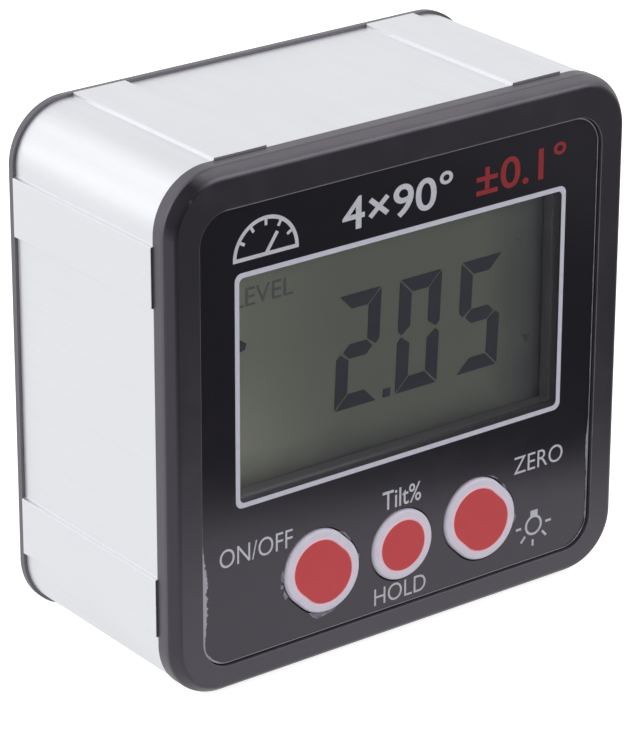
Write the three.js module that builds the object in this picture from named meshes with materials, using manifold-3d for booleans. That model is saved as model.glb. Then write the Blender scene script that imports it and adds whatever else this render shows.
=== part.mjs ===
// A pocket digital inclinometer: an extruded aluminium ring with raised measuring rails, closed by a
// front bezel with display and buttons and by a rear cover with the battery bay. It stands on the two
// rails of its lower face.
//
// Millimetres, +Z up. The pieces are drawn in the face frame: X to the right, Y from the bezel's front
// plane towards the rear, Z up from the middle of the body. The group at the end moves that frame so
// that the origin lies under the middle of the body, on the plane it stands on.

import * as THREE from 'three';
import { mergeVertices } from 'three/addons/utils/BufferGeometryUtils.js';
import Module from 'manifold-3d';

const wasm = await Module();
wasm.setup();

// Cells and their bay, which set the body's width and depth
const cellRadius = 5.25;
const cellLength = 44.5;
const cellNubRadius = 1.9;
const cellNubLength = 1.2;
const cellEdgeRound = 0.35;
const cellGap = 0.4;
const bayEndRoom = 5.9;
const bayWall = 1;
const bayFrameGap = 1.47;
const wiringRoom = 6.35;

// Body
const bodyHeight = 58;
const bodyCornerRadius = 6.5;
const fitGap = 0.15;
const overrun = 1;
const joinOverlap = 0.3;

// Front bezel
const bezelDepth = 2.8;
const bezelChamferAcross = 0.9;
const bezelChamferAlong = 1.2;
const spigotDepth = 1.5;
const spigotWall = 1.2;
const spigotEndGap = 2.47;

// Frame extrusion
const frameDrop = 0.13;
const frameWall = 2.2;
const railRise = 0.41;
const railCornerGap = 0.9;
const railWidth = 6.7;
const railSlope = 0.3;
const portInset = 6.4;
const portWall = 1.85;

// Magnets in the rails of the lower face
const magnetRadius = 2.4;
const magnetThickness = 1.7;
const magnetSink = 0.15;
const magnetEndDistance = 6.3;

// Overlay film and display window
const overlaySideMargin = 3.85;
const overlayTopMargin = 4.45;
const overlayBottomMargin = 3.25;
const overlayCornerRadius = 3.4;
const overlayThickness = 0.3;
const overlaySink = 0.45;
const overlayGap = 0.1;
const windowSideMargin = 4.95;
const displayPortGap = 0.3;
const windowCornerRadius = 0.6;
const windowLedge = 0.3;
const lensThickness = 1.1;
const lensGap = 0.05;

// Display stack behind the bezel
const glassSideMargin = 1.8;
const glassTopMargin = 1.7;
const glassBottomMargin = 2.1;
const glassThickness = 1.8;
const glassGap = 0.15;
const holderWall = 0.6;
const holderFloor = 1.35;
const guideThickness = 2;
const guideGap = 0.3;
const guideLift = 0.1;
const stripEndInset = 3;
const stripThickness = 1.8;
const stripInset = 0.5;
const ledLength = 3;
const ledThickness = 0.9;

// Circuit board
const boardThickness = 1.2;
const boardEdgeGap = 0.4;
const boardBossRadius = 1.45;
const boardBossUpperDrop = 8.5;
const boardBossLowerRise = 14.5;
const controllerSize = 9;
const controllerHeight = 1.4;
const controllerX = -7;
const controllerZ = 7;
const sensorSize = 4.5;
const sensorHeight = 1.2;
const sensorX = 5;
const sensorZ = 9;
const crystalLength = 8;
const crystalWidth = 3.2;
const crystalHeight = 3;
const crystalX = -7;
const crystalZ = -3;
const capacitorRadius = 2;
const capacitorHeight = 4.6;
const capacitorX = 5;
const capacitorZ = -4;

// Buttons: two slanted oblongs and a round one between them
const buttonGap = 0.39;
const buttonSpigotGap = 1.08;
const buttonDisplayGap = 2.29;
const wideFaceRadius = 3.28;
const wideFaceHalfSpan = 0.76;
const roundFaceRadius = 2.95;
const skirtWidth = 1.07;
const skirtRise = 0.35;
const skirtEdgeDrop = 0.03;
const skirtWidthShares = [0, 0.4, 0.75, 1];
const skirtDropShares = [0, 0.12, 0.5, 1.15];
const inlayThickness = 0.5;
const inlayEdgeRound = 0.08;
const flangeLip = 0.7;
const flangeThickness = 0.7;
const flangeGap = 0.1;
const stemRadius = 1.5;
const stemLength = 0.5;
const switchSize = 6;
const switchHeight = 3.3;
const switchBoreDepth = 1.5;
const plungerRadius = 1.4;
const plungerInside = 0.9;

// Screws: head, shank and cross recess
const bodyScrewRadius = 1;
const bodyScrewHeadRadius = 1.8;
const bodyScrewHeadHeight = 0.85;
const bodyScrewLength = 7;
const coverScrewHeadHeight = 1;
const coverScrewSink = 0.1;
const boardScrewRadius = 0.75;
const boardScrewHeadRadius = 1.5;
const boardScrewHeadHeight = 0.8;
const boardScrewLength = 3.2;
const boardScrewTipGap = 0.8;
const crossLengthShare = 1.2;
const crossWidthShare = 0.28;
const crossDepthShare = 0.6;

// Rear cover and battery bay
const coverEdge = 1.5;
const coverDrop = 0.07;
const coverChamfer = 0.7;
const coverCornerGrowth = 0.2;
const bayFlangeEdge = 0.2;

// Battery door, which slides out to the right
const doorOverlap = 1.5;
const doorTongue = 0.8;
const doorTongueThickness = 0.6;
const doorLift = 0.15;
const doorSink = 0.05;
const doorGap = 0.2;
const doorRightInset = 0.1;
const gripLength = 9;
const gripHalfHeight = 6.5;
const gripDepth = 0.5;
const gripRibs = 5;
const gripRibShare = 0.45;
const gripRibHeight = 0.4;
const gripEndDistance = 4;

// Battery contacts and leads
const contactThickness = 0.4;
const contactGap = 0.05;
const contactEndMargin = 0.45;
const contactSideMargin = 1.05;
const tabWidth = 2;
const tabReach = 1;
const springWireRadius = 0.3;
const springBaseRadius = 3.2;
const springTipRadius = 1.9;
const springTurns = 4;
const springTurnSteps = 10;
const leadRadius = 0.6;
const leadGap = 0.3;
const leadDrop = 1.6;
const leadRun = 8.5;

// Fineness of round shapes
const cornerSegments = 8;
const roundSegments = 16;
const buttonSegments = 32;
const cellSegments = 24;
const wireSegments = 5;
const leadSegments = 8;
const leadSteps = 16;

// Places along the depth
const frameFront = bezelDepth;
const overlayRear = overlaySink + overlayThickness;
const lensRear = overlaySink + lensThickness;
const glassFront = bezelDepth + glassGap;
const glassRear = glassFront + glassThickness;
const boardFront = glassRear + guideLift + guideThickness + holderFloor;
const boardRear = boardFront + boardThickness;
const bayFloorFront = boardRear + wiringRoom;
const bayFloorRear = bayFloorFront + bayWall;
const cellDepth = bayFloorRear + fitGap + cellRadius;
const doorFront = cellDepth + cellRadius + 3 * fitGap;
const frameRear = doorFront - doorLift;
const coverRear = frameRear + coverEdge;

// Sizes of the bay, the body and the frame
const cellPitch = 2 * cellRadius + cellGap;
const upperCellZ = cellPitch / 2;
const bayHalfWidth = (cellLength + bayEndRoom) / 2;
const bayHalfHeight = upperCellZ + cellRadius + cellGap;
const bodyWidth = 2 * (bayHalfWidth + bayWall + bayFrameGap + frameWall + frameDrop);
const frameHalfWidth = bodyWidth / 2 - frameDrop;
const frameHalfHeight = bodyHeight / 2 - frameDrop;
const railTopX = frameHalfWidth + railRise;
const railTopZ = frameHalfHeight + railRise;
const cavityHalfWidth = frameHalfWidth - frameWall;
const cavityHalfHeight = frameHalfHeight - frameWall;
const portBoreRadius = bodyScrewRadius + fitGap;
const portWebRadius = portBoreRadius + portWall;
const portX = frameHalfWidth - portInset;
const portZ = frameHalfHeight - portInset;
const railSetback = bodyCornerRadius + railCornerGap;
const spigotOuterZ = cavityHalfHeight - fitGap;

// Sizes and places on the front, from the button row upwards
const wideButtonReach = wideFaceRadius + wideFaceHalfSpan * Math.SQRT1_2 + skirtWidth + flangeLip;
const roundButtonReach = roundFaceRadius + skirtWidth + flangeLip;
const buttonPitch = wideButtonReach + roundButtonReach + buttonGap;
const buttonRowZ = spigotWall - spigotOuterZ + buttonSpigotGap + wideButtonReach;
const overlayWidth = bodyWidth - 2 * overlaySideMargin;
const overlayHeight = bodyHeight - overlayTopMargin - overlayBottomMargin;
const overlayCentreZ = (overlayBottomMargin - overlayTopMargin) / 2;
const glassBottom = buttonRowZ + wideButtonReach + buttonDisplayGap + holderWall + glassGap / 2;
const glassTop = portZ - portWebRadius - displayPortGap - holderWall - glassGap / 2;
const windowTop = glassTop - glassTopMargin;
const windowBottom = glassBottom + glassBottomMargin;
const windowWidth = overlayWidth - 2 * windowSideMargin;
const windowHeight = windowTop - windowBottom;
const windowCentreZ = (windowTop + windowBottom) / 2;
const glassWidth = windowWidth + 2 * glassSideMargin;
const glassHeight = glassTop - glassBottom;
const glassCentreZ = (glassTop + glassBottom) / 2;
const holderHalfWidth = glassWidth / 2 + glassGap / 2 + holderWall;
const holderHalfHeight = glassHeight / 2 + glassGap / 2 + holderWall;

const corners = [[1, 1], [-1, 1], [-1, -1], [1, -1]];

// Outlines are closed lists of points in X and Z, counterclockwise seen from the front.

function arc(centreX, centreZ, radius, startAngle, endAngle, segments) {
  const points = [];
  for (let i = 0; i <= segments; i++) {
    const angle = startAngle + (endAngle - startAngle) * i / segments;
    points.push(new THREE.Vector2(centreX + radius * Math.cos(angle), centreZ + radius * Math.sin(angle)));
  }
  return points;
}

function circle(radius, centreX = 0, centreZ = 0, segments = roundSegments) {
  return arc(centreX, centreZ, radius, 0, 2 * Math.PI * (1 - 1 / segments), segments - 1);
}

function rectangle(lowX, highX, lowZ, highZ) {
  return [[lowX, lowZ], [highX, lowZ], [highX, highZ], [lowX, highZ]]
    .map(([x, z]) => new THREE.Vector2(x, z));
}

function roundedRectangle(width, height, radius, centreZ = 0) {
  return corners.flatMap(([sideX, sideZ], i) => arc(
    sideX * (width / 2 - radius), centreZ + sideZ * (height / 2 - radius),
    radius, i * Math.PI / 2, (i + 1) * Math.PI / 2, cornerSegments));
}

// An oblong with round ends whose long axis falls to the right at 45 degrees.
function slantedOblong(radius, halfSpan) {
  const step = halfSpan * Math.SQRT1_2;
  return [
    ...arc(step, -step, radius, -0.75 * Math.PI, 0.25 * Math.PI, buttonSegments / 2),
    ...arc(-step, step, radius, 0.25 * Math.PI, 1.25 * Math.PI, buttonSegments / 2),
  ];
}

// Solids

function toSolid(geometry) {
  const bare = geometry.clone();
  bare.deleteAttribute('normal');
  bare.deleteAttribute('uv');
  const merged = mergeVertices(bare);
  return new wasm.Manifold(new wasm.Mesh({
    numProp: 3,
    vertProperties: merged.attributes.position.array,
    triVerts: new Uint32Array(merged.index.array),
  }));
}

function toGeometry(solid) {
  const mesh = solid.getMesh();
  const geometry = new THREE.BufferGeometry();
  geometry.setAttribute('position', new THREE.BufferAttribute(mesh.vertProperties, 3));
  geometry.setIndex(new THREE.BufferAttribute(mesh.triVerts, 1));
  geometry.computeVertexNormals();
  return geometry;
}

// A straight piece with the given outline, from one depth to another.
function prism(outline, front, rear, holes = []) {
  const shape = new THREE.Shape(outline);
  shape.holes = holes.map((hole) => new THREE.Path(hole));
  const geometry = new THREE.ExtrudeGeometry(shape, { depth: rear - front, bevelEnabled: false });
  geometry.rotateX(Math.PI / 2);
  geometry.translate(0, rear, 0);
  return toSolid(geometry);
}

function block(lowX, highX, front, rear, lowZ, highZ) {
  return prism(rectangle(lowX, highX, lowZ, highZ), front, rear);
}

// A piece whose outline changes along the depth: rings of as many points each, from front to rear.
function loft(rings) {
  const count = rings[0].outline.length;
  const positions = rings.flatMap(({ outline, depth }) => outline.flatMap((p) => [p.x, depth, p.y]));
  const caps = THREE.ShapeUtils.triangulateShape(rings[0].outline, []);
  const lastRing = (rings.length - 1) * count;
  const index = caps.flatMap(([a, b, c]) => [a, b, c, lastRing + a, lastRing + c, lastRing + b]);
  for (let ring = 0; ring < rings.length - 1; ring++) {
    for (let i = 0; i < count; i++) {
      const front = ring * count + i;
      const frontNext = ring * count + (i + 1) % count;
      index.push(front, front + count, frontNext + count, front, frontNext + count, frontNext);
    }
  }
  const geometry = new THREE.BufferGeometry();
  geometry.setAttribute('position', new THREE.Float32BufferAttribute(positions, 3));
  geometry.setIndex(index);
  return geometry;
}

// A turned piece about the depth axis, from its radii at each depth.
function turned(steps, segments = roundSegments) {
  return loft(steps.map(([radius, depth]) => ({ outline: circle(radius, 0, 0, segments), depth })));
}

// Materials

const finish = (color, roughness, metalness) => () => new THREE.MeshStandardMaterial({
  color, roughness, metalness, flatShading: true,
});
const anodised = finish(0xe4e6e8, 0.4, 0.9);
const blackPlastic = finish(0x2c2c30, 0.6, 0);
const printedFilm = finish(0x26262a, 0.3, 0);
const clearPlastic = finish(0xa9b4b8, 0.1, 0);
const displayGlass = finish(0x6b7065, 0.2, 0);
const whitePlastic = finish(0xe8e8e4, 0.5, 0);
const silverPlastic = finish(0xb9bac8, 0.4, 0.1);
const redPlastic = finish(0xbe464b, 0.45, 0);
const greenBoard = finish(0x1f6b3a, 0.5, 0);
const chipBlack = finish(0x1b1b1d, 0.5, 0);
const bareMetal = finish(0xb8babd, 0.3, 1);
const springSteel = finish(0xcfd0d2, 0.25, 1);
const softRubber = finish(0xd7cfc0, 0.8, 0);
const cellWrap = finish(0x2f4f6f, 0.4, 0.2);
const redWire = finish(0xa82020, 0.6, 0);
const blackWire = finish(0x202022, 0.6, 0);

const body = new THREE.Group();

function add(name, shape, material, parent = body) {
  const geometry = shape instanceof THREE.BufferGeometry ? shape : toGeometry(shape);
  const mesh = new THREE.Mesh(geometry, material());
  mesh.name = name;
  parent.add(mesh);
  return mesh;
}

// Frame extrusion

// One side of the frame's outline as pairs of a distance along the side and a rise over its face.
function railProfile(halfLength) {
  const outerFoot = halfLength - railSetback;
  const innerFoot = outerFoot - railWidth;
  return [
    [-outerFoot, 0], [-outerFoot + railSlope, railRise], [-innerFoot - railSlope, railRise], [-innerFoot, 0],
    [innerFoot, 0], [innerFoot + railSlope, railRise], [outerFoot - railSlope, railRise], [outerFoot, 0],
  ];
}

function frameOutline() {
  const radius = bodyCornerRadius - frameDrop;
  const alongX = railProfile(bodyWidth / 2);
  const alongZ = railProfile(bodyHeight / 2);
  const sides = [
    alongZ.map(([along, rise]) => [frameHalfWidth + rise, along]),
    alongX.map(([along, rise]) => [-along, frameHalfHeight + rise]),
    alongZ.map(([along, rise]) => [-frameHalfWidth - rise, -along]),
    alongX.map(([along, rise]) => [along, -frameHalfHeight - rise]),
  ];
  return corners.flatMap(([sideX, sideZ], i) => [
    ...sides[i].map(([x, z]) => new THREE.Vector2(x, z)),
    ...arc(sideX * (frameHalfWidth - radius), sideZ * (frameHalfHeight - radius),
      radius, i * Math.PI / 2, (i + 1) * Math.PI / 2, cornerSegments),
  ]);
}

// The frame's inside, with a web in each corner that holds the screw port.
function cavityOutline() {
  const quarter = [
    [cavityHalfWidth, portZ - portWebRadius],
    ...arc(portX, portZ, portWebRadius, -Math.PI / 2, -Math.PI, cornerSegments).map((p) => [p.x, p.y]),
    [portX - portWebRadius, cavityHalfHeight],
  ];
  return corners.flatMap(([sideX, sideZ]) => {
    const points = quarter.map(([x, z]) => new THREE.Vector2(sideX * x, sideZ * z));
    return sideX * sideZ > 0 ? points : points.reverse();
  });
}

const railCentreX = bodyWidth / 2 - railSetback - railWidth / 2;
const magnetDepths = [frameFront + magnetEndDistance, frameRear - magnetEndDistance];
const magnetBottom = -railTopZ + magnetSink;

// A disc that lies in the lower wall, with its axis upright.
function uprightDisc(radius, bottom, top) {
  const geometry = turned([[radius, -top], [radius, -bottom]]);
  geometry.rotateX(-Math.PI / 2);
  return geometry;
}

let frame = prism(frameOutline(), frameFront, frameRear,
  [cavityOutline(), ...corners.map(([x, z]) => circle(portBoreRadius, x * portX, z * portZ))]);
const pocket = toSolid(uprightDisc(magnetRadius + fitGap, -railTopZ - overrun,
  magnetBottom + magnetThickness));
for (const side of [-1, 1]) {
  for (const depth of magnetDepths) {
    frame = frame.subtract(pocket.translate([side * railCentreX, depth, 0]));
  }
}
add('frame_extrusion', frame, anodised);

let magnetCount = 0;
for (const side of [-1, 1]) {
  for (const depth of magnetDepths) {
    magnetCount += 1;
    const disc = uprightDisc(magnetRadius, magnetBottom, magnetBottom + magnetThickness);
    add(`base_magnet_${magnetCount}`, disc, bareMetal).position.set(side * railCentreX, depth, 0);
  }
}

// Buttons

const wideOutline = (grow) => slantedOblong(wideFaceRadius + grow, wideFaceHalfSpan);
const roundOutline = (grow) => circle(roundFaceRadius + grow, 0, 0, buttonSegments);
const buttons = [
  { side: 'left', x: -buttonPitch, outline: wideOutline },
  { side: 'middle', x: 0, outline: roundOutline },
  { side: 'right', x: buttonPitch, outline: wideOutline },
];
const faceTop = overlaySink - skirtRise;
const flangeFront = bezelDepth + flangeGap;
const flangeRear = flangeFront + flangeThickness;
const stemRear = flangeRear + stemLength;

for (const { side, x, outline } of buttons) {
  const inlayRear = faceTop + inlayThickness;
  const skirtRings = skirtWidthShares.map((share, i) => ({
    outline: outline(share * skirtWidth),
    depth: faceTop + skirtEdgeDrop + skirtDropShares[i] * skirtRise,
  }));
  const cap = toSolid(loft([...skirtRings, { outline: outline(skirtWidth), depth: flangeRear }]))
    .add(prism(outline(skirtWidth + flangeLip), flangeFront, flangeRear))
    .add(prism(circle(stemRadius), flangeFront, stemRear))
    .subtract(prism(outline(0), faceTop - overrun, inlayRear));
  add(`button_${side}`, cap, silverPlastic).position.set(x, 0, buttonRowZ);

  const inlay = loft([
    { outline: outline(-inlayEdgeRound - contactGap), depth: faceTop },
    { outline: outline(-contactGap), depth: faceTop + inlayEdgeRound },
    { outline: outline(-contactGap), depth: inlayRear },
  ]);
  add(`button_${side}_face`, inlay, redPlastic).position.set(x, 0, buttonRowZ);

  const switchFront = boardFront - switchHeight;
  const switchHalf = switchSize / 2;
  const switchBody = block(-switchHalf, switchHalf, switchFront, boardFront, -switchHalf, switchHalf)
    .subtract(prism(circle(plungerRadius + fitGap), switchFront - overrun, switchFront + switchBoreDepth));
  add(`tact_switch_${side}`, switchBody, chipBlack).position.set(x, 0, buttonRowZ);

  const plunger = turned([[plungerRadius, stemRear], [plungerRadius, switchFront + plungerInside]]);
  add(`switch_plunger_${side}`, plunger, bareMetal).position.set(x, 0, buttonRowZ);
}

// Front bezel

// The bosses stand midway between the display and the frame.
const boardBossX = (holderHalfWidth + cavityHalfWidth) / 2;
const boardBosses = corners.map(([sideX, sideZ]) => [
  sideX * boardBossX, sideZ > 0 ? portZ - boardBossUpperDrop : boardBossLowerRise - portZ,
]);
const bossBoreFront = boardFront - boardScrewLength - boardScrewTipGap;
const counterboreDepth = overlayRear + bodyScrewHeadHeight + contactGap;

// The bars that locate a cover in the frame's mouth, above and below.
function spigotBars(front, rear) {
  const reach = portX - portWebRadius - spigotEndGap;
  const upper = block(-reach, reach, front, rear, spigotOuterZ - spigotWall, spigotOuterZ);
  const lower = block(-reach, reach, front, rear, -spigotOuterZ, spigotWall - spigotOuterZ);
  return [upper, lower];
}

let bezel = toSolid(loft([
  {
    outline: roundedRectangle(bodyWidth - 2 * bezelChamferAcross, bodyHeight - 2 * bezelChamferAcross,
      bodyCornerRadius - bezelChamferAcross),
    depth: 0,
  },
  { outline: roundedRectangle(bodyWidth, bodyHeight, bodyCornerRadius), depth: bezelChamferAlong },
  { outline: roundedRectangle(bodyWidth, bodyHeight, bodyCornerRadius), depth: bezelDepth },
]));
for (const bar of spigotBars(bezelDepth - joinOverlap, bezelDepth + spigotDepth)) {
  bezel = bezel.add(bar);
}
for (const [x, z] of boardBosses) {
  bezel = bezel
    .add(prism(circle(boardBossRadius, x, z), bezelDepth - joinOverlap, boardFront))
    .subtract(prism(circle(boardScrewRadius + fitGap, x, z), bossBoreFront, boardFront + overrun));
}
bezel = bezel
  .subtract(prism(roundedRectangle(overlayWidth + 2 * overlayGap, overlayHeight + 2 * overlayGap,
    overlayCornerRadius + overlayGap, overlayCentreZ), -overrun, overlayRear))
  .subtract(prism(roundedRectangle(windowWidth + 2 * lensGap, windowHeight + 2 * lensGap,
    windowCornerRadius + lensGap, windowCentreZ), 0, lensRear))
  .subtract(prism(roundedRectangle(windowWidth - 2 * windowLedge, windowHeight - 2 * windowLedge,
    windowCornerRadius, windowCentreZ), 0, bezelDepth + overrun));
for (const { x, outline } of buttons) {
  bezel = bezel.subtract(prism(outline(skirtWidth + fitGap), 0, bezelDepth + overrun)
    .translate([x, 0, buttonRowZ]));
}
for (const [sideX, sideZ] of corners) {
  bezel = bezel
    .subtract(prism(circle(bodyScrewHeadRadius + fitGap, sideX * portX, sideZ * portZ), 0, counterboreDepth))
    .subtract(prism(circle(bodyScrewRadius + fitGap, sideX * portX, sideZ * portZ), 0, bezelDepth + overrun));
}
add('front_bezel', bezel, blackPlastic);

// Overlay film and window lens

let overlay = prism(roundedRectangle(overlayWidth, overlayHeight, overlayCornerRadius, overlayCentreZ),
  overlaySink, overlayRear,
  [roundedRectangle(windowWidth + 2 * lensGap, windowHeight + 2 * lensGap, windowCornerRadius + lensGap,
    windowCentreZ)]);
for (const { x, outline } of buttons) {
  overlay = overlay.subtract(prism(outline(skirtWidth + fitGap), 0, overlayRear + overrun)
    .translate([x, 0, buttonRowZ]));
}
add('overlay_film', overlay, printedFilm);
add('window_lens', prism(roundedRectangle(windowWidth, windowHeight, windowCornerRadius, windowCentreZ),
  overlaySink, lensRear), clearPlastic);

// Display stack

const holderFloorFront = boardFront - holderFloor;
const stripHalfLength = glassWidth / 2 - stripEndInset;
const stripBottom = glassBottom + stripInset;
const stripTop = stripBottom + stripThickness;
const ledLeft = -glassWidth / 2 + glassGap;
const ledRight = ledLeft + ledThickness;
const guideFront = holderFloorFront - guideThickness;

const holder = block(-holderHalfWidth, holderHalfWidth, glassFront, boardFront,
  glassCentreZ - holderHalfHeight, glassCentreZ + holderHalfHeight)
  .subtract(block(holderWall - holderHalfWidth, holderHalfWidth - holderWall,
    glassFront - overrun, holderFloorFront,
    glassCentreZ - holderHalfHeight + holderWall, glassCentreZ + holderHalfHeight - holderWall))
  .subtract(block(-stripHalfLength - guideGap, stripHalfLength + guideGap,
    glassFront, boardFront + overrun, stripBottom - guideGap, stripTop + guideGap))
  .subtract(block(ledLeft - contactGap, ledRight + guideGap / 2, glassFront, boardFront + overrun,
    glassCentreZ - ledLength / 2 - guideGap, glassCentreZ + ledLength / 2 + guideGap));
add('display_holder', holder, whitePlastic);
add('display_glass', block(-glassWidth / 2, glassWidth / 2, glassFront, glassRear,
  glassBottom, glassBottom + glassHeight), displayGlass);
add('light_guide', block(ledRight + guideGap, glassWidth / 2, guideFront, holderFloorFront,
  stripTop + guideGap, glassBottom + glassHeight), clearPlastic);
add('connector_strip', block(-stripHalfLength, stripHalfLength, glassRear, boardFront,
  stripBottom, stripTop), softRubber);
add('backlight_lamp', block(ledLeft, ledRight, guideFront, boardFront,
  glassCentreZ - ledLength / 2, glassCentreZ + ledLength / 2), whitePlastic);

// Circuit board with the parts soldered to it

const boardHalfWidth = cavityHalfWidth - boardEdgeGap;
const boardBottom = boardEdgeGap - cavityHalfHeight;
const boardTop = portZ - portWebRadius - boardEdgeGap;
const notchX = portX - portWebRadius - boardEdgeGap;
const notchZ = -boardTop;
const boardOutline = [
  [-notchX, boardBottom], [notchX, boardBottom], [notchX, notchZ], [boardHalfWidth, notchZ],
  [boardHalfWidth, boardTop], [-boardHalfWidth, boardTop], [-boardHalfWidth, notchZ], [-notchX, notchZ],
].map(([x, z]) => new THREE.Vector2(x, z));
add('circuit_board', prism(boardOutline, boardFront, boardRear,
  boardBosses.map(([x, z]) => circle(boardScrewRadius + fitGap, x, z))), greenBoard);

function onBoard(name, width, height, tall, x, z, material) {
  add(name, block(x - width / 2, x + width / 2, boardRear, boardRear + tall,
    z - height / 2, z + height / 2), material);
}
onBoard('microcontroller', controllerSize, controllerSize, controllerHeight,
  controllerX, controllerZ, chipBlack);
onBoard('tilt_sensor', sensorSize, sensorSize, sensorHeight, sensorX, sensorZ, chipBlack);

const crystalReach = (crystalLength - crystalWidth) / 2;
add('crystal', prism([
  ...arc(crystalX + crystalReach, crystalZ, crystalWidth / 2, -Math.PI / 2, Math.PI / 2, cornerSegments),
  ...arc(crystalX - crystalReach, crystalZ, crystalWidth / 2, Math.PI / 2, 1.5 * Math.PI, cornerSegments),
], boardRear, boardRear + crystalHeight), bareMetal);
add('capacitor', turned([
  [capacitorRadius, boardRear], [capacitorRadius, boardRear + capacitorHeight],
]), bareMetal).position.set(capacitorX, 0, capacitorZ);

// Screws

// The cross recess in a head whose outer face lies at the given depth; inward is +1 towards the rear.
function crossRecess(headRadius, headHeight, face, inward) {
  const reach = headRadius * crossLengthShare / 2;
  const half = headRadius * crossWidthShare / 2;
  const floor = face + inward * headHeight * crossDepthShare;
  const open = face - inward * overrun;
  const [front, rear] = [Math.min(open, floor), Math.max(open, floor)];
  return block(-reach, reach, front, rear, -half, half).add(block(-half, half, front, rear, -reach, reach));
}

// Pan-head screws go in from the front and hide under the overlay.
const bezelHeadFace = counterboreDepth - bodyScrewHeadHeight;
const bezelScrew = toSolid(turned([
  [bodyScrewHeadRadius, bezelHeadFace], [bodyScrewHeadRadius, counterboreDepth],
  [bodyScrewRadius, counterboreDepth], [bodyScrewRadius, counterboreDepth + bodyScrewLength],
])).subtract(crossRecess(bodyScrewHeadRadius, bodyScrewHeadHeight, bezelHeadFace, 1));

// Countersunk screws go in from the rear; the same cone, a little larger, sinks the cover.
const coverHeadFace = coverRear - coverScrewSink;
function coverScrewSteps(growth) {
  const headFront = coverHeadFace - coverScrewHeadHeight;
  return [
    [bodyScrewRadius + growth, headFront - bodyScrewLength],
    [bodyScrewRadius + growth, headFront],
    [bodyScrewHeadRadius + growth, coverHeadFace],
  ];
}
const coverScrew = toSolid(turned(coverScrewSteps(0)))
  .subtract(crossRecess(bodyScrewHeadRadius, coverScrewHeadHeight, coverHeadFace, -1));

corners.forEach(([sideX, sideZ], i) => {
  add(`bezel_screw_${i + 1}`, bezelScrew, bareMetal).position.set(sideX * portX, 0, sideZ * portZ);
  add(`cover_screw_${i + 1}`, coverScrew, bareMetal).position.set(sideX * portX, 0, sideZ * portZ);
});

const boardHeadFace = boardRear + boardScrewHeadHeight;
const boardScrew = toSolid(turned([
  [boardScrewRadius, boardRear - boardScrewLength - boardThickness], [boardScrewRadius, boardRear],
  [boardScrewHeadRadius, boardRear], [boardScrewHeadRadius, boardHeadFace],
])).subtract(crossRecess(boardScrewHeadRadius, boardScrewHeadHeight, boardHeadFace, -1));
boardBosses.forEach(([x, z], i) => {
  add(`board_screw_${i + 1}`, boardScrew, bareMetal).position.set(x, 0, z);
});

// Rear cover with the battery bay

const doorRear = coverRear - doorSink;
const coverCornerRadius = bodyCornerRadius + coverCornerGrowth;
const coverHalfWidth = railTopX - coverDrop;
const coverHalfHeight = railTopZ - coverDrop;
const tongueRear = doorFront + doorTongueThickness;
const doorHalfHeight = bayHalfHeight + doorOverlap;
const doorHalfReach = doorHalfHeight + doorTongue;
const doorLeft = -bayHalfWidth - doorGap;
const tabSlotHalf = tabWidth / 2 + fitGap;

let cover = toSolid(loft([
  { outline: roundedRectangle(2 * coverHalfWidth, 2 * coverHalfHeight, coverCornerRadius), depth: frameRear },
  {
    outline: roundedRectangle(2 * coverHalfWidth, 2 * coverHalfHeight, coverCornerRadius),
    depth: coverRear - coverChamfer,
  },
  {
    outline: roundedRectangle(2 * (coverHalfWidth - coverChamfer), 2 * (coverHalfHeight - coverChamfer),
      coverCornerRadius - coverChamfer),
    depth: coverRear,
  },
]));
for (const bar of spigotBars(frameRear - spigotDepth, frameRear + joinOverlap)) {
  cover = cover.add(bar);
}
const flangeHalfHeight = doorHalfReach + doorGap + bayFlangeEdge;
cover = cover
  .add(block(-bayHalfWidth - bayWall, bayHalfWidth + bayWall, bayFloorFront, frameRear + joinOverlap,
    -bayHalfHeight - bayWall, bayHalfHeight + bayWall))
  .add(block(-bayHalfWidth - bayWall, bayHalfWidth + bayWall, frameRear - spigotDepth,
    frameRear + joinOverlap, -flangeHalfHeight, flangeHalfHeight))
  .subtract(block(-bayHalfWidth, bayHalfWidth, bayFloorRear, coverRear + overrun,
    -bayHalfHeight, bayHalfHeight))
  .subtract(block(doorLeft - doorGap, coverHalfWidth + overrun, frameRear, coverRear + overrun,
    -doorHalfHeight - doorGap, doorHalfHeight + doorGap))
  .subtract(block(doorLeft - doorGap, coverHalfWidth + overrun, frameRear, tongueRear + fitGap,
    -doorHalfReach - doorGap, doorHalfReach + doorGap));
const coverSink = toSolid(turned([...coverScrewSteps(fitGap),
  [bodyScrewHeadRadius + fitGap, coverRear + overrun]]));
for (const [sideX, sideZ] of corners) {
  cover = cover.subtract(coverSink.translate([sideX * portX, 0, sideZ * portZ]));
}

// Battery contacts: a plate at each end of each cell, with a conical coil where the flat end sits.

const contactReach = 2 * (cellRadius - contactSideMargin);
const contactHalf = cellRadius - contactEndMargin;
const contactDepth = cellDepth - contactReach / 2;
const plateInner = bayHalfWidth - contactGap - contactThickness;
const plateMiddle = plateInner + contactThickness / 2;
const flatCellEnd = cellLength - plateInner + contactGap;
const coilTip = flatCellEnd + fitGap + springWireRadius;
const tabDepth = bayFloorFront - tabReach;

// A coil that starts inside the plate at the right-hand end and narrows towards the cell.
class ConicalCoil extends THREE.Curve {
  getPoint(share, target = new THREE.Vector3()) {
    const radius = springBaseRadius + (springTipRadius - springBaseRadius) * share;
    const angle = 2 * Math.PI * springTurns * share;
    const along = plateMiddle + (coilTip - plateMiddle) * share;
    return target.set(along, radius * Math.cos(angle), radius * Math.sin(angle));
  }
}

function coilSolid() {
  const section = new THREE.Shape(circle(springWireRadius, 0, 0, wireSegments));
  return toSolid(new THREE.ExtrudeGeometry(section, {
    steps: springTurns * springTurnSteps, bevelEnabled: false, extrudePath: new ConicalCoil(),
  }));
}

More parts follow.
